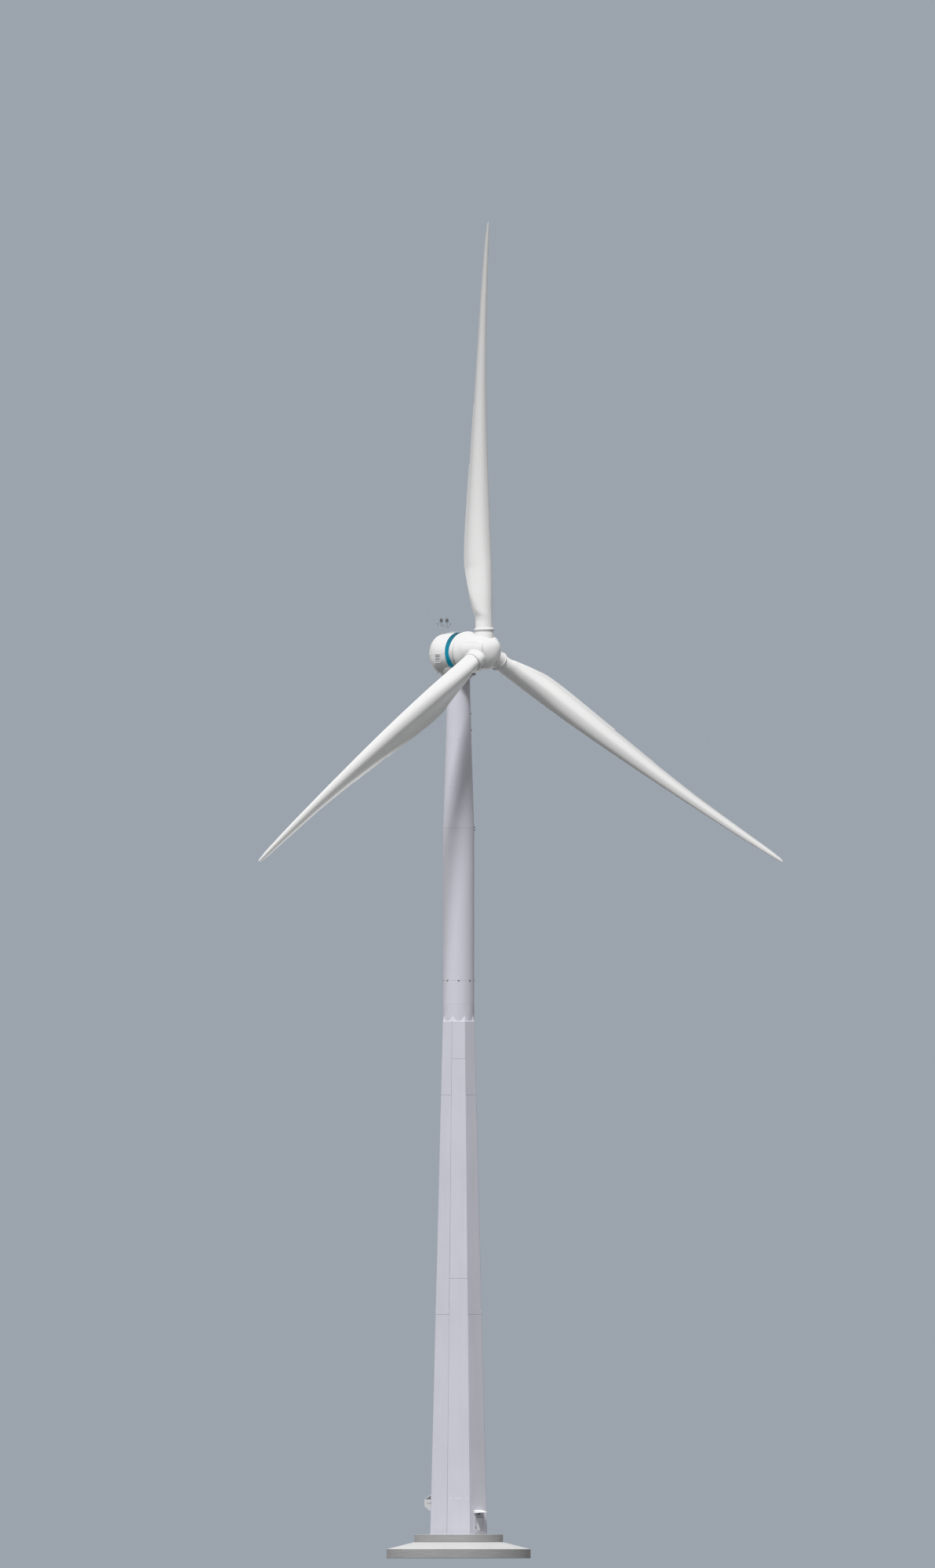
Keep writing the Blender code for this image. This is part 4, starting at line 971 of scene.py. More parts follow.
def louvre(side):
    """A frame of four bars, five slats that shed rain outwards, and a dark chamber behind them."""
    low, high = sorted((side * LOUVRE_FACE, side * LOUVRE_SEAT))
    (y0, z0), (y1, z1) = LOUVRE_FRAME_LOW, LOUVRE_FRAME_HIGH
    y_in, y_out = y0 + LOUVRE_BAR, y1 - LOUVRE_BAR
    bars = blocks([(low, y0, z0), (low, y_out, z0), (low, y_in, z0), (low, y_in, z1 - LOUVRE_SILL)],
                  [(high, y_in, z1), (high, y1, z1), (high, y_out, z0 + LOUVRE_SILL), (high, y_out, z1)])
    slat = blocks((-0.13, y_in - 1.2, -0.012), (0.13, y_out - 1.2, 0.012), 0.004)
    levels = np.linspace(z0 + 0.18, z1 - 0.18, LOUVRE_SLATS)
    slats = repeated(slat, turn_about_y(side * SLAT_TILT), xyz(side * SLAT_X, (y0 + y1) / 2, levels))
    rear, front = sorted((side * CHAMBER_REAR, side * CHAMBER_FACE))
    return bars, slats, blocks((rear, y0 + 0.02, z0 + 0.02), (front, y1 - 0.02, z1 - 0.02))


for side, node in ((1, "louvre_east"), (-1, "louvre_west")):
    bars, slats, chamber = louvre(side)
    fit(shaped(f"{node}_slats", [bars, slats], louvre_white), "nacelle", "grey_metal", node)
    fit(shaped(f"{node}_chamber", [chamber], grey_coat), "nacelle", "grey_metal")

roof_hatch = [blocks(LID_LOW, LID_HIGH, 0.05), blocks(CURB_LOW, CURB_HIGH, 0.03)]
fit(shaped("roof_hatch_lid", roof_hatch, grey_coat), "nacelle", "shell_white", "roof_hatch")


def skin_level(x, y, middle=0.0):
    """Height of the housing's skin at a place, found on the surface's own formula by search: on the roof,
    or with the middle at half a turn, on the underside."""
    share = np.linspace(0.0, 0.9, 400)[:, None]
    turn = middle + np.linspace(-1.2, 1.2, 241)[None, :]
    world = shell_points(share, turn) @ turn_about_x(-SHAFT_TILT).T + HUB_CENTRE
    nearest = np.argmin((world[..., 0] - x) ** 2 + (world[..., 1] - y) ** 2)
    return world.reshape(-1, 3)[nearest, 2]


EYE_PLACES = ((-1.2, 1.5), (1.2, 1.5), (-1.2, 2.3), (1.2, 2.3), (-1.0, 3.3), (1.0, 3.3))
RAIL_X, RAIL_HEIGHT, RAIL_RADIUS = 0.95, 0.24, 0.022
half_ring = np.linspace(0, np.pi, 12)
gear_parts = []
for x, y in EYE_PLACES:
    skin = skin_level(x, y)
    eye_path = xyz(x, y + 0.07 * np.cos(half_ring), skin + 0.02 + 0.10 * np.sin(half_ring))
    gear_parts.append(blocks((x - 0.09, y - 0.09, skin - 0.08), (x + 0.09, y + 0.09, skin + 0.03), 0.012))
    gear_parts.append(tube(eye_path, 0.018))
rail_y = np.array((1.35, 2.0, 2.6))
rail_z = np.array([skin_level(-RAIL_X, y) for y in rail_y])
for x in (-RAIL_X, RAIL_X):
    feet, heads = xyz(x, rail_y, rail_z - 0.06), xyz(x, rail_y, rail_z + RAIL_HEIGHT)
    gear_parts += [rods(feet, heads, RAIL_RADIUS, 10), rods(heads[:-1], heads[1:], RAIL_RADIUS, 10)]
fit(shaped("roof_gear", gear_parts, grey_coat), "nacelle", "grey_metal")

# The service hatch under the rear, where the chain hoist lowers its loads: a rim that follows the skin,
# a bar where its two doors meet, and their hinges. Beside it are a drain and the hoist's guide.
HATCH_HALF, HATCH_BAR = 0.75, 0.04
RIM_LOW, RIM_HIGH = 0.09, 0.12
rim_y = np.linspace(2.62, 3.72, 12)
rim_z = np.array([skin_level(0.0, y, np.pi) for y in rim_y])
belly = []
for x in (-HATCH_HALF, -HATCH_BAR / 2, HATCH_HALF - HATCH_BAR):
    ring_x = x + np.array([0, HATCH_BAR, HATCH_BAR, 0])
    bar = xyz(ring_x, rim_y[:, None], rim_z[:, None] + np.array([-RIM_LOW, -RIM_LOW, RIM_HIGH, RIM_HIGH]))
    belly.append(grid(capped(bar)))
for y, z in ((rim_y[0], rim_z[0]), (rim_y[-1], rim_z[-1])):
    belly.append(blocks((-HATCH_HALF, y - 0.03, z - 0.10), (HATCH_HALF, y + 0.03, z + RIM_HIGH)))
hinge_y, hinge_z = rim_y[2:-1:3], rim_z[2:-1:3]
for x in (-HATCH_HALF - 0.07, HATCH_HALF + 0.07):
    belly.append(blocks(xyz(x - 0.06, hinge_y - 0.07, hinge_z - 0.06),
                        xyz(x + 0.06, hinge_y + 0.07, hinge_z + 0.10), 0.012))
fit(shaped("service_hatch", belly, louvre_white), "nacelle", "grey_metal")

DRAIN_X, DRAIN_Y = -1.25, 2.75
red_oxide = plain_finish("primer_red_grey", (0.26, 0.18, 0.16), (0.36, 0.27, 0.24), 0.6, 60)
drain_z = skin_level(DRAIN_X, DRAIN_Y, np.pi)
drain_bend = (DRAIN_X, DRAIN_Y, drain_z - 0.10)
drain = rods([(DRAIN_X, DRAIN_Y, drain_z + 0.05), drain_bend],
             [drain_bend, (DRAIN_X, DRAIN_Y + 0.23, drain_z - 0.14)], 0.045, 14)
guide = blocks((-0.16, 2.98, skin_level(0.0, 2.98, np.pi) - 0.19),
               (0.16, 3.26, skin_level(0.0, 3.12, np.pi) + 0.04), 0.02)
fit(shaped("hoist_guide", [drain, guide], red_oxide), "nacelle", "grey_metal")


# Weather mast
# Two galvanised posts with rungs carry the wind sensors on side arms and, on top, a pair of dark
# warning lights with wire cages.
MAST_Y, MAST_HALF = 2.85, 0.56
MAST_FOOT, MAST_TOP = 127.20, 129.76
MAST_SIDES = np.array((-MAST_HALF, MAST_HALF))
RUNG_LEVELS = (128.69, 128.94, 129.16, 129.37)
ARM_HALF, ARM_LEVEL = 1.25, 129.30
STAY_TOP, STAY_REACH = 128.80, 0.55
posts = rods(xyz(MAST_SIDES, MAST_Y, MAST_FOOT), xyz(MAST_SIDES, MAST_Y, MAST_TOP), 0.05, 16)
rungs = rods(xyz(-MAST_HALF, MAST_Y, RUNG_LEVELS), xyz(MAST_HALF, MAST_Y, RUNG_LEVELS), 0.03, 12)
arm = rods((-ARM_HALF, MAST_Y, ARM_LEVEL), (ARM_HALF, MAST_Y, ARM_LEVEL), 0.025, 12)
stay_foot = skin_level(MAST_HALF, MAST_Y + STAY_REACH) - 0.02
stays = rods(xyz(MAST_SIDES, MAST_Y + 0.04, STAY_TOP),
             xyz(MAST_SIDES, MAST_Y + STAY_REACH, stay_foot), 0.022, 10)
caps = [moved(button(0.075, 0.03, 20), place=(x, MAST_Y, MAST_TOP - 0.035)) for x in MAST_SIDES]
galvanised = plain_finish("galvanised_steel", (0.34, 0.35, 0.36), (0.46, 0.47, 0.48), 0.5, 120, Metallic=0.45)
mast = shaped("mast_welded", [posts, rungs, arm, stays] + caps, galvanised)
fit(mast, "nacelle", "grey_metal", "weather_mast")

# The sensors: a cup wheel at one end of the arm, a vane at the other, and a probe beside the mast.
SENSOR_X, VANE_LEVEL, CUP_REACH = 1.22, 129.51, 0.13
PROBE_X = 0.80
cup_turns = full_turn(3)
cup_centre = np.array((-SENSOR_X, MAST_Y, 129.55))
cup_spots = cup_centre + on_circle(cup_turns, CUP_REACH, 0)
cup_arms = rods(np.tile(cup_centre, (3, 1)), cup_spots, 0.008, 8)
bowl = turned([(0, -0.045), (0.03, -0.036), (0.045, -0.008), (0.047, 0.0), (0.036, 0.0), (0.024, -0.024),
               (0, -0.032)], 16)
cups = repeated(bowl, upright_turns(cup_turns) @ turn_about_x(np.pi / 2), cup_spots)
sensor_x = np.array((-SENSOR_X, SENSOR_X))
stems = rods(xyz(sensor_x, MAST_Y, ARM_LEVEL - 0.01), xyz(sensor_x, MAST_Y, (129.56, 129.50)), 0.022, 12)
vane_fin = blocks((SENSOR_X - 0.008, MAST_Y + 0.06, 129.47), (SENSOR_X + 0.008, MAST_Y + 0.22, 129.60), 0.003)
vane_rod = rods((SENSOR_X, MAST_Y - 0.16, VANE_LEVEL), (SENSOR_X, MAST_Y + 0.10, VANE_LEVEL), 0.01, 10)
housings = [moved(button(0.05, 0.11, 16), place=(x, MAST_Y, ARM_LEVEL)) for x in sensor_x]
probe = [moved(button(0.06, 0.14, 16), place=(PROBE_X, MAST_Y, 128.98)),
         rods((MAST_HALF, MAST_Y, 129.0), (PROBE_X, MAST_Y, 129.0), 0.02, 10)]
sensors = shaped("wind_sensors", [cup_arms, cups, stems, vane_fin, vane_rod, *housings, *probe], dark_steel)
fit(sensors, "nacelle", "grey_metal")

# The warning lights: a ribbed dark lens on a round base, under a cage of six wires.
LAMP_FOOT = MAST_TOP + 0.003
CAGE_WIRES, CAGE_RADIUS, CAGE_FOOT, CAGE_HEIGHT = 6, 0.215, 0.08, 0.48
lamp_glass = plain_finish("lamp_glass", (0.055, 0.065, 0.06), (0.10, 0.115, 0.11), 0.485, 60,
                          -0.065, (1, 1, 6), **{"Specular IOR Level": 0.4})
rib_levels = np.linspace(0.10, 0.42, 17)
rib_radii = 0.190 + 0.014 * (np.arange(17) % 2)
lens_profile = [(0, 0.08), *zip(rib_radii, rib_levels), (0.15, 0.49), (0.07, 0.53), (0, 0.54)]
base_profile = [(0, 0), (0.225, 0), (0.23, 0.02), (0.23, 0.07), (0.21, 0.09), (0, 0.09)]
top_profile = [(0, 0.52), (0.07, 0.52), (0.06, 0.57), (0.02, 0.595), (0, 0.597)]
climb = np.linspace(0, 1, 14)
wire_radius = CAGE_RADIUS * np.cos(climb * np.pi / 2) ** 0.5
wire_level = CAGE_FOOT + CAGE_HEIGHT * climb
wires = [tube(on_circle(turn, wire_radius, wire_level), 0.008, 6) for turn in full_turn(CAGE_WIRES)]
cage_parts = [turned(base_profile, 32), turned(top_profile, 32), *wires]
for place, x in zip(("left", "right"), MAST_SIDES):
    lamp_place = (x, MAST_Y, LAMP_FOOT)
    lens = shaped(f"warning_lens_{place}", [moved(turned(lens_profile, 32), place=lamp_place)], lamp_glass)
    fit(lens, "nacelle", "lamp_lens", f"warning_light_{place}")
    cage = shaped(f"warning_cage_{place}", [moved(part, place=lamp_place) for part in cage_parts], dark_steel)
    fit(cage, "nacelle", "grey_metal")


# Hub
# A spinner of white glass fibre over the cast hub. It is flatter under each blade and fuller between
# them, and it ends in three round collars, one for each blade root.
BLADE_TURNS = np.radians((0.0, 120.0, 240.0))
CONE = math.radians(2.0)
HUB_RADIUS, NOSE_LENGTH, NOSE_POWER = 2.35, 1.90, 2.2
HUB_STATIONS = (0.0, 0.5, 1.0, 1.5, 1.90, 2.3, 2.7, 3.0)
HUB_RADII = (HUB_RADIUS, 2.39, 2.46, 2.56, 2.66, 2.80, 2.90, 2.92)
HUB_LOBES = (0.10, 0.10, 0.10, 0.09, 0.07, 0.04, 0.01, 0.0)
HUB_SIDES, SPINNER_REAR, GAP_ARRIS = 240, 1.897, 0.03
COLLAR_RADIUS, COLLAR_END, COLLAR_SIDES = 1.28, 2.90, 120
COVE = 0.16


def smooth_along(station, values):
    """Values at the hub's stations joined by a smooth curve: straight joins, averaged over a short
    window of stations."""
    window = np.linspace(-0.22, 0.22, 9)
    return np.mean([np.interp(station + shift, HUB_STATIONS, values) for shift in window], 0)


def hub_reach(station, turn):
    """Distance of the hub's surface from the shaft. Ahead of the hub centre it follows a superellipse to
    the nose, and behind it the listed radii. Three lobes take a share off under each blade."""
    ahead = np.clip(-station / NOSE_LENGTH, 0, 1)
    nose = HUB_RADIUS * (1 - ahead**NOSE_POWER) ** (1 / NOSE_POWER)
    radius = np.where(station < 0, nose, smooth_along(station, HUB_RADII))
    lobing = np.where(station < 0, HUB_LOBES[0] * nose / HUB_RADIUS, smooth_along(station, HUB_LOBES))
    return radius * (1 - lobing * np.cos(3 * turn))


def hub_path(station, turn, proud=0.0):
    """Points on the hub's surface, or standing proud of it."""
    return about_shaft(station, turn, hub_reach(station, turn) + proud)


hub_turns = full_turn(HUB_SIDES)
nose_angle = np.linspace(0.012, 1, 40)[:, None] * np.pi / 2
nose_stations = -NOSE_LENGTH * np.cos(nose_angle) ** (2 / NOSE_POWER)
stations = np.concatenate((nose_stations, np.linspace(0.0, 1.86, 32)[1:, None]))
hub_rear = hub_path(SPINNER_REAR, hub_turns, -GAP_ARRIS)
tip, tail = (about_shaft(station, 0 * hub_turns, 0) for station in (-NOSE_LENGTH, SPINNER_REAR))
hub_rows = (tip[None], hub_path(stations, hub_turns), hub_rear[None], tail[None])
hub_body = on_shaft(grid(np.concatenate(hub_rows)))


def blade_frame(turn):
    """Turns a part drawn with the blade pointing up to the blade's place on the tilted, coned rotor."""
    return turn_about_x(-SHAFT_TILT) @ turn_about_y(turn) @ turn_about_x(CONE)


def on_blades(*parts):
    """Parts drawn with the blade pointing up, carried to all three blades' places."""
    return [moved(part, blade_frame(turn), HUB_CENTRE) for turn in BLADE_TURNS for part in parts]


def collar():
    """A collar under one blade. Its foot lies where a wider circle about the blade's axis meets the hub,
    and a quadratic curve leads from there into the upright cylinder and on to the rounded mouth."""
    turn = full_turn(COLLAR_SIDES)

    def height_on_hub(radius):
        """Where an upright line at each turn meets the hub, found by repeated correction."""
        x, y, height = radius * np.cos(turn), radius * np.sin(turn), np.full(COLLAR_SIDES, 2.0)
        for _ in range(14):
            station = y * math.cos(CONE) - height * math.sin(CONE)
            reach = hub_reach(station, np.arctan2(x, height))
            height = np.sqrt(np.maximum(reach**2 - x**2, 0.3))
        return height

    wide, close = COLLAR_RADIUS + COVE, COLLAR_RADIUS + 0.02
    foot, bend = height_on_hub(wide), height_on_hub(close)
    step = np.linspace(0, 1, 10)[:, None]
    radius = (1 - step) ** 2 * wide + (1 - (1 - step) ** 2) * close
    height = (1 - step) ** 2 * (foot - 0.01) + 2 * step * (1 - step) * bend + step**2 * (bend + COVE)
    mouth = np.array([(1.29, COLLAR_END - 0.07), (COLLAR_RADIUS, COLLAR_END - 0.03),
                      (COLLAR_RADIUS - 0.03, COLLAR_END), (0, COLLAR_END)])
    radius = np.concatenate(([[0.0], [1.4]], radius, mouth[:, :1]))
    height = np.concatenate((np.full((2, COLLAR_SIDES), 1.0), height, mouth[:, 1:] + 0 * height[:1]))
    return grid(on_circle(turn, radius, height))


spinner = shaped("spinner_moulded", [hub_body] + on_blades(collar()), gel_white, 40)
fit(spinner, "rotor", "shell_white", "hub_spinner")

# The drum behind the spinner turns with it, and takes the axle in a blind bore.
DRUM_FRONT, DRUM_REAR, DRUM_BORE_END = 1.903, 3.42, 2.53
rear_rows = [about_shaft(station, hub_turns, radius) for radius, station in (
    (2.915, 3.32), (2.88, 3.38), (2.82, DRUM_REAR), (AXLE_BORE, DRUM_REAR), (AXLE_BORE, DRUM_BORE_END),
    (0.0, DRUM_BORE_END))]
drum_nose = about_shaft(DRUM_FRONT, hub_turns, 0)
drum_front = hub_path(DRUM_FRONT, hub_turns, -GAP_ARRIS)
drum_body = hub_path(np.linspace(1.94, 3.25, 26)[:, None], hub_turns)
drum_part = on_shaft(grid(np.concatenate((drum_nose[None], drum_front[None], drum_body, rear_rows))))
drum_white = gel_finish("drum_gel_coat", (0.70, 0.70, 0.695), (0.50, 0.50, 0.49), 0.12)
fit(shaped("drum_moulded", [drum_part], drum_white, 30), "rotor", "shell_white", "rotor_drum")

# Pitch bearings: long studs in a ring under each blade flange, on a narrow seat.
ROOT_STUDS, STUD_CIRCLE, STUD_FOOT, STUD_LENGTH = 54, 1.322, 2.76, 0.138
stud_turns = full_turn(ROOT_STUDS)
stud_feet = on_circle(stud_turns, STUD_CIRCLE, STUD_FOOT)
studs = rods(stud_feet, stud_feet + (0, 0, STUD_LENGTH), 0.026, 8)
stud_nuts = repeated(hex_nut(0.042, 0.05, 0.1), upright_turns(stud_turns), stud_feet - (0, 0, 0.03))
stud_zinc = plain_finish("stud_zinc", (0.62, 0.62, 0.62), (0.72, 0.72, 0.72), 0.4, 200, Metallic=0.1)
seat_profile = [(1.27, 2.86), (1.365, 2.86), (1.38, 2.875), (1.38, 2.898), (1.27, 2.898)]
bearing_parts = on_blades(studs, stud_nuts, turned(seat_profile, 160, loop=True))
fit(shaped("pitch_studs", bearing_parts, stud_zinc), "rotor", "bare_steel")

# An access panel between the collars: its two free edges show as fine lines with round fastener heads.
PANEL_STATIONS, PANEL_DEGREES = (-1.42, 1.68), (-62.5, -60.5)
top_station = np.linspace(PANEL_STATIONS[1], PANEL_STATIONS[0], 60)
front_degrees = np.linspace(PANEL_DEGREES[0], -94, 24)[1:]
edge_turn = np.radians(np.concatenate((np.interp(top_station, PANEL_STATIONS, PANEL_DEGREES), front_degrees)))
edge_station = np.concatenate((top_station, 0 * front_degrees + PANEL_STATIONS[0]))
side_heads = np.linspace(-1.30, 1.55, 14)
head_station = np.concatenate((side_heads, np.full(6, PANEL_STATIONS[0] + 0.08)))
side_degrees = np.interp(side_heads, PANEL_STATIONS, PANEL_DEGREES) - 2
head_turn = np.radians(np.concatenate((side_degrees, np.linspace(-69, -92, 6))))
edges = [on_shaft(tube(hub_path(edge_station, edge_turn + third, -0.004), 0.013)) for third in BLADE_TURNS]
heads = [on_shaft(rods(hub_path(head_station, head_turn + third, -0.01),
                       hub_path(head_station, head_turn + third, 0.016), 0.045, 12)) for third in BLADE_TURNS]
fit(shaped("hub_panel_seams", edges, seam_grey), "rotor", "grey_metal")
fit(shaped("hub_panel_heads", heads, dark_steel), "rotor", "grey_metal")


# Blades
# Glass-fibre blades: a round root runs out into a twisted aerofoil that bends forward at the tip. Each
# is bolted by its root flange, and carries tape on its leading edge and lightning receptors.
BLADE_TIP, FLANGE_END, ROOT_RADIUS, ROOT_END = 59.449, 3.05, 1.20, 4.2
PREBEND, PREBEND_POWER = 2.89, 2.5
THICKEST, UPWIND_HALF, FLAT_FROM = 0.35, 0.60, 0.92
BLADE_SIDES = 96
STATION_RADII = (2.903, ROOT_END, 4.9, 5.6, 8, 10.4, 13, 17, 22, 28, 35, 43, 51, 57, 59, BLADE_TIP)
CHORDS = (2.4, 2.4, 2.52, 2.9, 3.7, 4.23, 4.45, 4.22, 3.72, 3.08, 2.35, 1.66, 1.20, 0.80, 0.42, 0.12)
THICKNESSES = (1, 1, 0.955, 0.82, 0.60, 0.44, 0.35, 0.30, 0.27, 0.25, 0.22, 0.20, 0.18, 0.18, 0.18, 0.20)
TWISTS = (0, 0, 6, 15, 13, 10.8, 8.8, 6.8, 4.2, 1.0, -0.4, -1.3, -1.8, -2, -2, -2)
AHEAD = (0.5, 0.5, 0.478, 0.425, 0.354, 0.324, 0.315, 0.32, 0.335, 0.35, 0.37, 0.40, 0.41, 0.42, 0.44, 0.50)


def spanwise(radius, values):
    """A blade measure at each radius: straight joins between the listed stations, averaged over a window
    that is wide in mid-span and closes at the root and the tip."""
    width = np.clip(np.minimum(radius - ROOT_END, BLADE_TIP - radius) * 0.35, 0.0, 1.3)
    window = np.linspace(-1, 1, 9)
    return np.mean([np.interp(radius + width * shift, STATION_RADII, values) for shift in window], 0)


def blade_points(radius, turn, proud=0.0):
    """The blade's surface, by radius and by turn round the section from the leading edge. The section is
    an ellipse at the root and changes to an aerofoil as it thins. Downwind its half thickness is the root
    of the chord share times what is left of the chord. Upwind it is a quarter ellipse up to the thickest
    place and then a smooth fall, which leaves the rear hollow and then flat. The section is then twisted
    and bent."""
    chord, thickness, twist, ahead = (
        spanwise(radius, values)[:, None] for values in (CHORDS, THICKNESSES, TWISTS, AHEAD))
    radius, turn = np.asarray(radius, float)[:, None], np.asarray(turn)[None, :]
    sharpness = np.clip((0.95 - thickness) / 0.55, 0, 1) ** 1.7
    share = 0.5 - 0.5 * np.cos(turn)
    front = np.minimum(1, share / THICKEST)
    rear = np.clip((share - THICKEST) / (FLAT_FROM - THICKEST), 0, 1)
    downwind = 1.30 * np.sqrt(share) * (1 - share)
    upwind = -UPWIND_HALF * np.sqrt(front * (2 - front)) * (1 - rear) ** 2 * (1 + 2 * rear)
    foil = np.where(np.sin(turn) > 0, downwind, upwind) + 0.004 * np.sin(turn)
    half = thickness * (0.5 * np.sin(turn) * (1 - sharpness) + foil * sharpness)
    half = half + proud / chord * np.sign(np.sin(turn))
    forward, across = (ahead - share) * chord, half * chord
    twist = np.radians(twist)
    bend = PREBEND * (np.maximum(0, radius - FLANGE_END) / (BLADE_TIP - FLANGE_END)) ** PREBEND_POWER
    return xyz(forward * np.cos(twist) + across * np.sin(twist),
               across * np.cos(twist) - forward * np.sin(twist) - bend, radius)


def blade_finish():
    """Blade gel coat: light warm grey white, with faint dust in clouds."""
    material, tree, shader = new_finish("blade_gel_coat")
    clouds = apply_effect(tree, cloudy_mottle, Scale=1.5)["Mask"]
    fine = apply_effect(tree, cloudy_mottle, Scale=18.0)["Mask"]
    dust = ranged(tree, multiplied(tree, clouds, fine), 0, 0.12)
    feed(tree, shader, {
        "Base Color": blended(tree, dust, (0.79, 0.79, 0.78), (0.58, 0.58, 0.56)),
        "Roughness": ranged(tree, fine, 0.36, 0.5),
        "Coat Weight": 0.15,
    })
    return material


blade_white = blade_finish()
tape_film = plain_finish("edge_tape", (0.72, 0.72, 0.71), (0.76, 0.76, 0.75), 0.3, 15)
root_profile = np.array([(0, 2.903), (1.36, 2.903), (1.385, 2.92), (1.385, 3.03), (1.365, FLANGE_END),
                         (1.22, FLANGE_END), (ROOT_RADIUS, 3.08)])
section_turns = full_turn(BLADE_SIDES)
root_grid = on_circle(section_turns, root_profile[:, :1], root_profile[:, 1:])
span = np.concatenate((
    np.linspace(3.3, 14, 56), np.linspace(14, 56, 84)[1:], np.linspace(56, BLADE_TIP, 22)[1:]))
span_grid = blade_points(span, section_turns)
tip_pole = np.broadcast_to(span_grid[-1].mean(0), (1, BLADE_SIDES, 3))
blade_part = grid(np.concatenate((root_grid, span_grid, tip_pole)))
root_nuts = repeated(hex_nut(0.052, 0.07), upright_turns(stud_turns), on_circle(stud_turns, 1.30, FLANGE_END))
tape_place = (np.linspace(36, 58.8, 70), np.linspace(-0.36, 0.36, 14))
tape = walled(blade_points(*tape_place, 0.006), blade_points(*tape_place, -0.01))

# Plates lengthen the chord along the trailing edge, and receptors sit in both faces of the outer third.
PLATES = ((10.0, 26.0, 0.13), (26.1, 34.1, 0.05))
RECEPTOR_RADII, RECEPTOR_TURNS = (40.0, 52.0, 58.2), (1.9, 4.4)


def trailing_plate(start, end, reach):
    """A thin plate that lengthens the chord between two radii. Its four-sided rings lie along the trailing
    edge and stick out by the reach, which grows over the first two metres."""
    radius = np.linspace(start, end, 60)
    edge = blade_points(radius, np.array([np.pi]))[:, 0]
    twist = np.radians(spanwise(radius, TWISTS))
    aft = xyz(-np.cos(twist), np.sin(twist), 0)[:, None]
    grown = reach * np.minimum(1, (radius - start) / 2 + 0.05)[:, None]
    out = np.stack(np.broadcast_arrays(-0.05, grown, grown, -0.05), 1)
    rows = edge[:, None] + out * aft + np.array([(0, -0.003, 0)] * 2 + [(0, 0.018, 0)] * 2)
    return grid(capped(rows))


plates = [trailing_plate(*plate) for plate in PLATES]
receptors = blade_points(np.array(RECEPTOR_RADII), np.array(RECEPTOR_TURNS)).reshape(-1, 3)
outwards = np.array([(0, 1, 0), (0, -1, 0)] * len(RECEPTOR_RADII))
receptor_part = rods(receptors - 0.02 * outwards, receptors + 0.010 * outwards, 0.035, 14)
for number, turn in enumerate(BLADE_TURNS, 1):
    blade = f"blade_{number}"
    shell_parts, metal_parts, tape_parts = (
        [moved(part, blade_frame(turn), HUB_CENTRE) for part in parts]
        for parts in ([blade_part, *plates], [root_nuts, receptor_part], [tape]))
    fit(shaped(f"{blade}_moulded", shell_parts, blade_white, 40), blade, "blade_white", blade)
    fit(shaped(f"{blade}_nuts", metal_parts, stud_zinc), blade, "bare_steel")
    fit(shaped(f"{blade}_tape", tape_parts, tape_film), blade, "blade_white")


# Floor, light and camera
# A plain pale floor, one high soft sun from the camera's left, and sky light that grows towards the
# top. The camera looks level at 45 degrees off the rotor's axis, without perspective, as in the photo.
FLOOR_HALF, FLOOR_DEPTH = 900.0, 0.005
SUN_ENERGY, SUN_SPREAD = 4.05, math.radians(8)
SUN_HEIGHT, SUN_TURN = math.radians(62.5), math.radians(212)
PIXELS_PER_METRE = 92.0
PHOTO_WIDTH, PHOTO_HEIGHT = 1192, 2000
AXIS_COLUMN, FOOT_ROW = 584.7, 1987.5
VIEW_TURN, VIEW_DISTANCE = math.radians(-45), 40
floor_finish = plain_finish("pale_floor", (0.60, 0.61, 0.62), (0.62, 0.63, 0.64), 0.9, 0.4)
floor_corners = xyz(*np.meshgrid((-FLOOR_HALF, FLOOR_HALF), (-FLOOR_HALF, FLOOR_HALF)), -FLOOR_DEPTH)
floor = shaped("pale_floor", [grid(floor_corners, ring=False)], floor_finish)
floor.visible_diffuse = False


def placed(name, data, location, turn):
    """A lamp or camera put in the scene."""
    thing = bpy.data.objects.new(name, data)
    thing.location, thing.rotation_euler = location, turn
    bpy.context.scene.collection.objects.link(thing)
    return thing


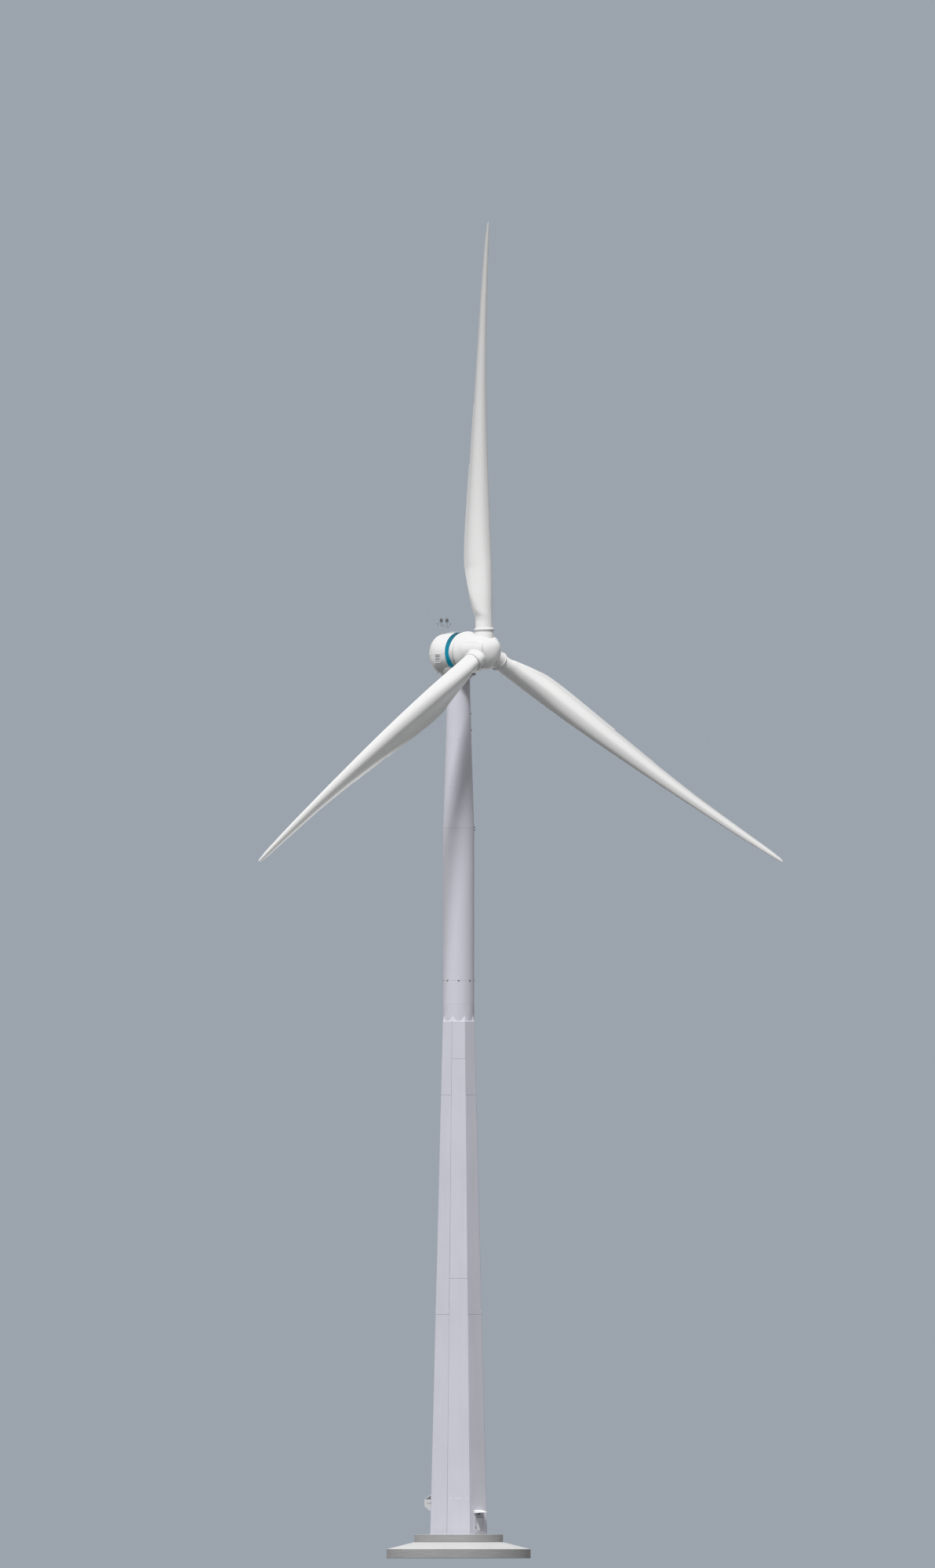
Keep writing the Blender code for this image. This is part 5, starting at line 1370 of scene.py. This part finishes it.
world = bpy.data.worlds.new("graded_sky")
bpy.context.scene.world = world
world.use_nodes = True
sky = world.node_tree
sky.nodes.clear()
seen = add_node(sky, "ShaderNodeBackground", {"Color": (0.33, 0.37, 0.42, 1), "Strength": 1.0})
way = add_node(sky, "ShaderNodeTexCoord", {}).outputs["Generated"]
rise = add_node(sky, "ShaderNodeVectorMath", {0: way, 1: (-0.17, 0.31, 1.0)}, operation="DOT_PRODUCT")
glow = ranged(sky, rise.outputs["Value"], 0.05, 0.73, -1.0, 1.0)
lit = add_node(sky, "ShaderNodeBackground", {"Color": (0.98, 0.985, 1.0, 1), "Strength": glow})
ray = add_node(sky, "ShaderNodeLightPath", {})
both = add_node(sky, "ShaderNodeMixShader", {
    0: ray.outputs["Is Camera Ray"], 1: lit.outputs[0], 2: seen.outputs[0]})
add_node(sky, "ShaderNodeOutputWorld", {"Surface": both.outputs[0]})

sun = bpy.data.lights.new("high_sun", "SUN")
sun.energy, sun.angle = SUN_ENERGY, SUN_SPREAD
placed("high_sun", sun, (0, 0, 0), (math.pi / 2 - SUN_HEIGHT, 0, SUN_TURN + math.pi / 2))

camera = bpy.data.cameras.new("level_camera")
camera.type = "ORTHO"
camera.ortho_scale = PHOTO_HEIGHT / PIXELS_PER_METRE
camera.clip_end = 200
right = np.array((math.cos(VIEW_TURN), math.sin(VIEW_TURN), 0))
ahead = np.array((-math.sin(VIEW_TURN), math.cos(VIEW_TURN), 0))
centre = right * (PHOTO_WIDTH / 2 - AXIS_COLUMN) / PIXELS_PER_METRE
centre[2] = (FOOT_ROW - PHOTO_HEIGHT / 2) / PIXELS_PER_METRE
eye = placed("level_camera", camera, centre - VIEW_DISTANCE * ahead, (math.pi / 2, 0, VIEW_TURN))
bpy.context.scene.camera = eye

# Above four fifths of white the picture's tones are pressed together, so that sunlit white keeps its shape.
BRIGHTEST = 1.8
view = bpy.context.scene.view_settings
view.view_transform = "Standard"
view.use_curve_mapping = True
view.curve_mapping.white_level = (BRIGHTEST,) * 3
tone_curve = view.curve_mapping.curves[3]
tone_curve.points[1].location = (1.0, 0.955)
for light_value, shown in ((0.80, 0.80), (1.0, 0.895), (1.3, 0.93)):
    tone_curve.points.new(light_value / BRIGHTEST, shown)
tone_curve.points[0].handle_type = tone_curve.points[1].handle_type = "VECTOR"
view.curve_mapping.update()
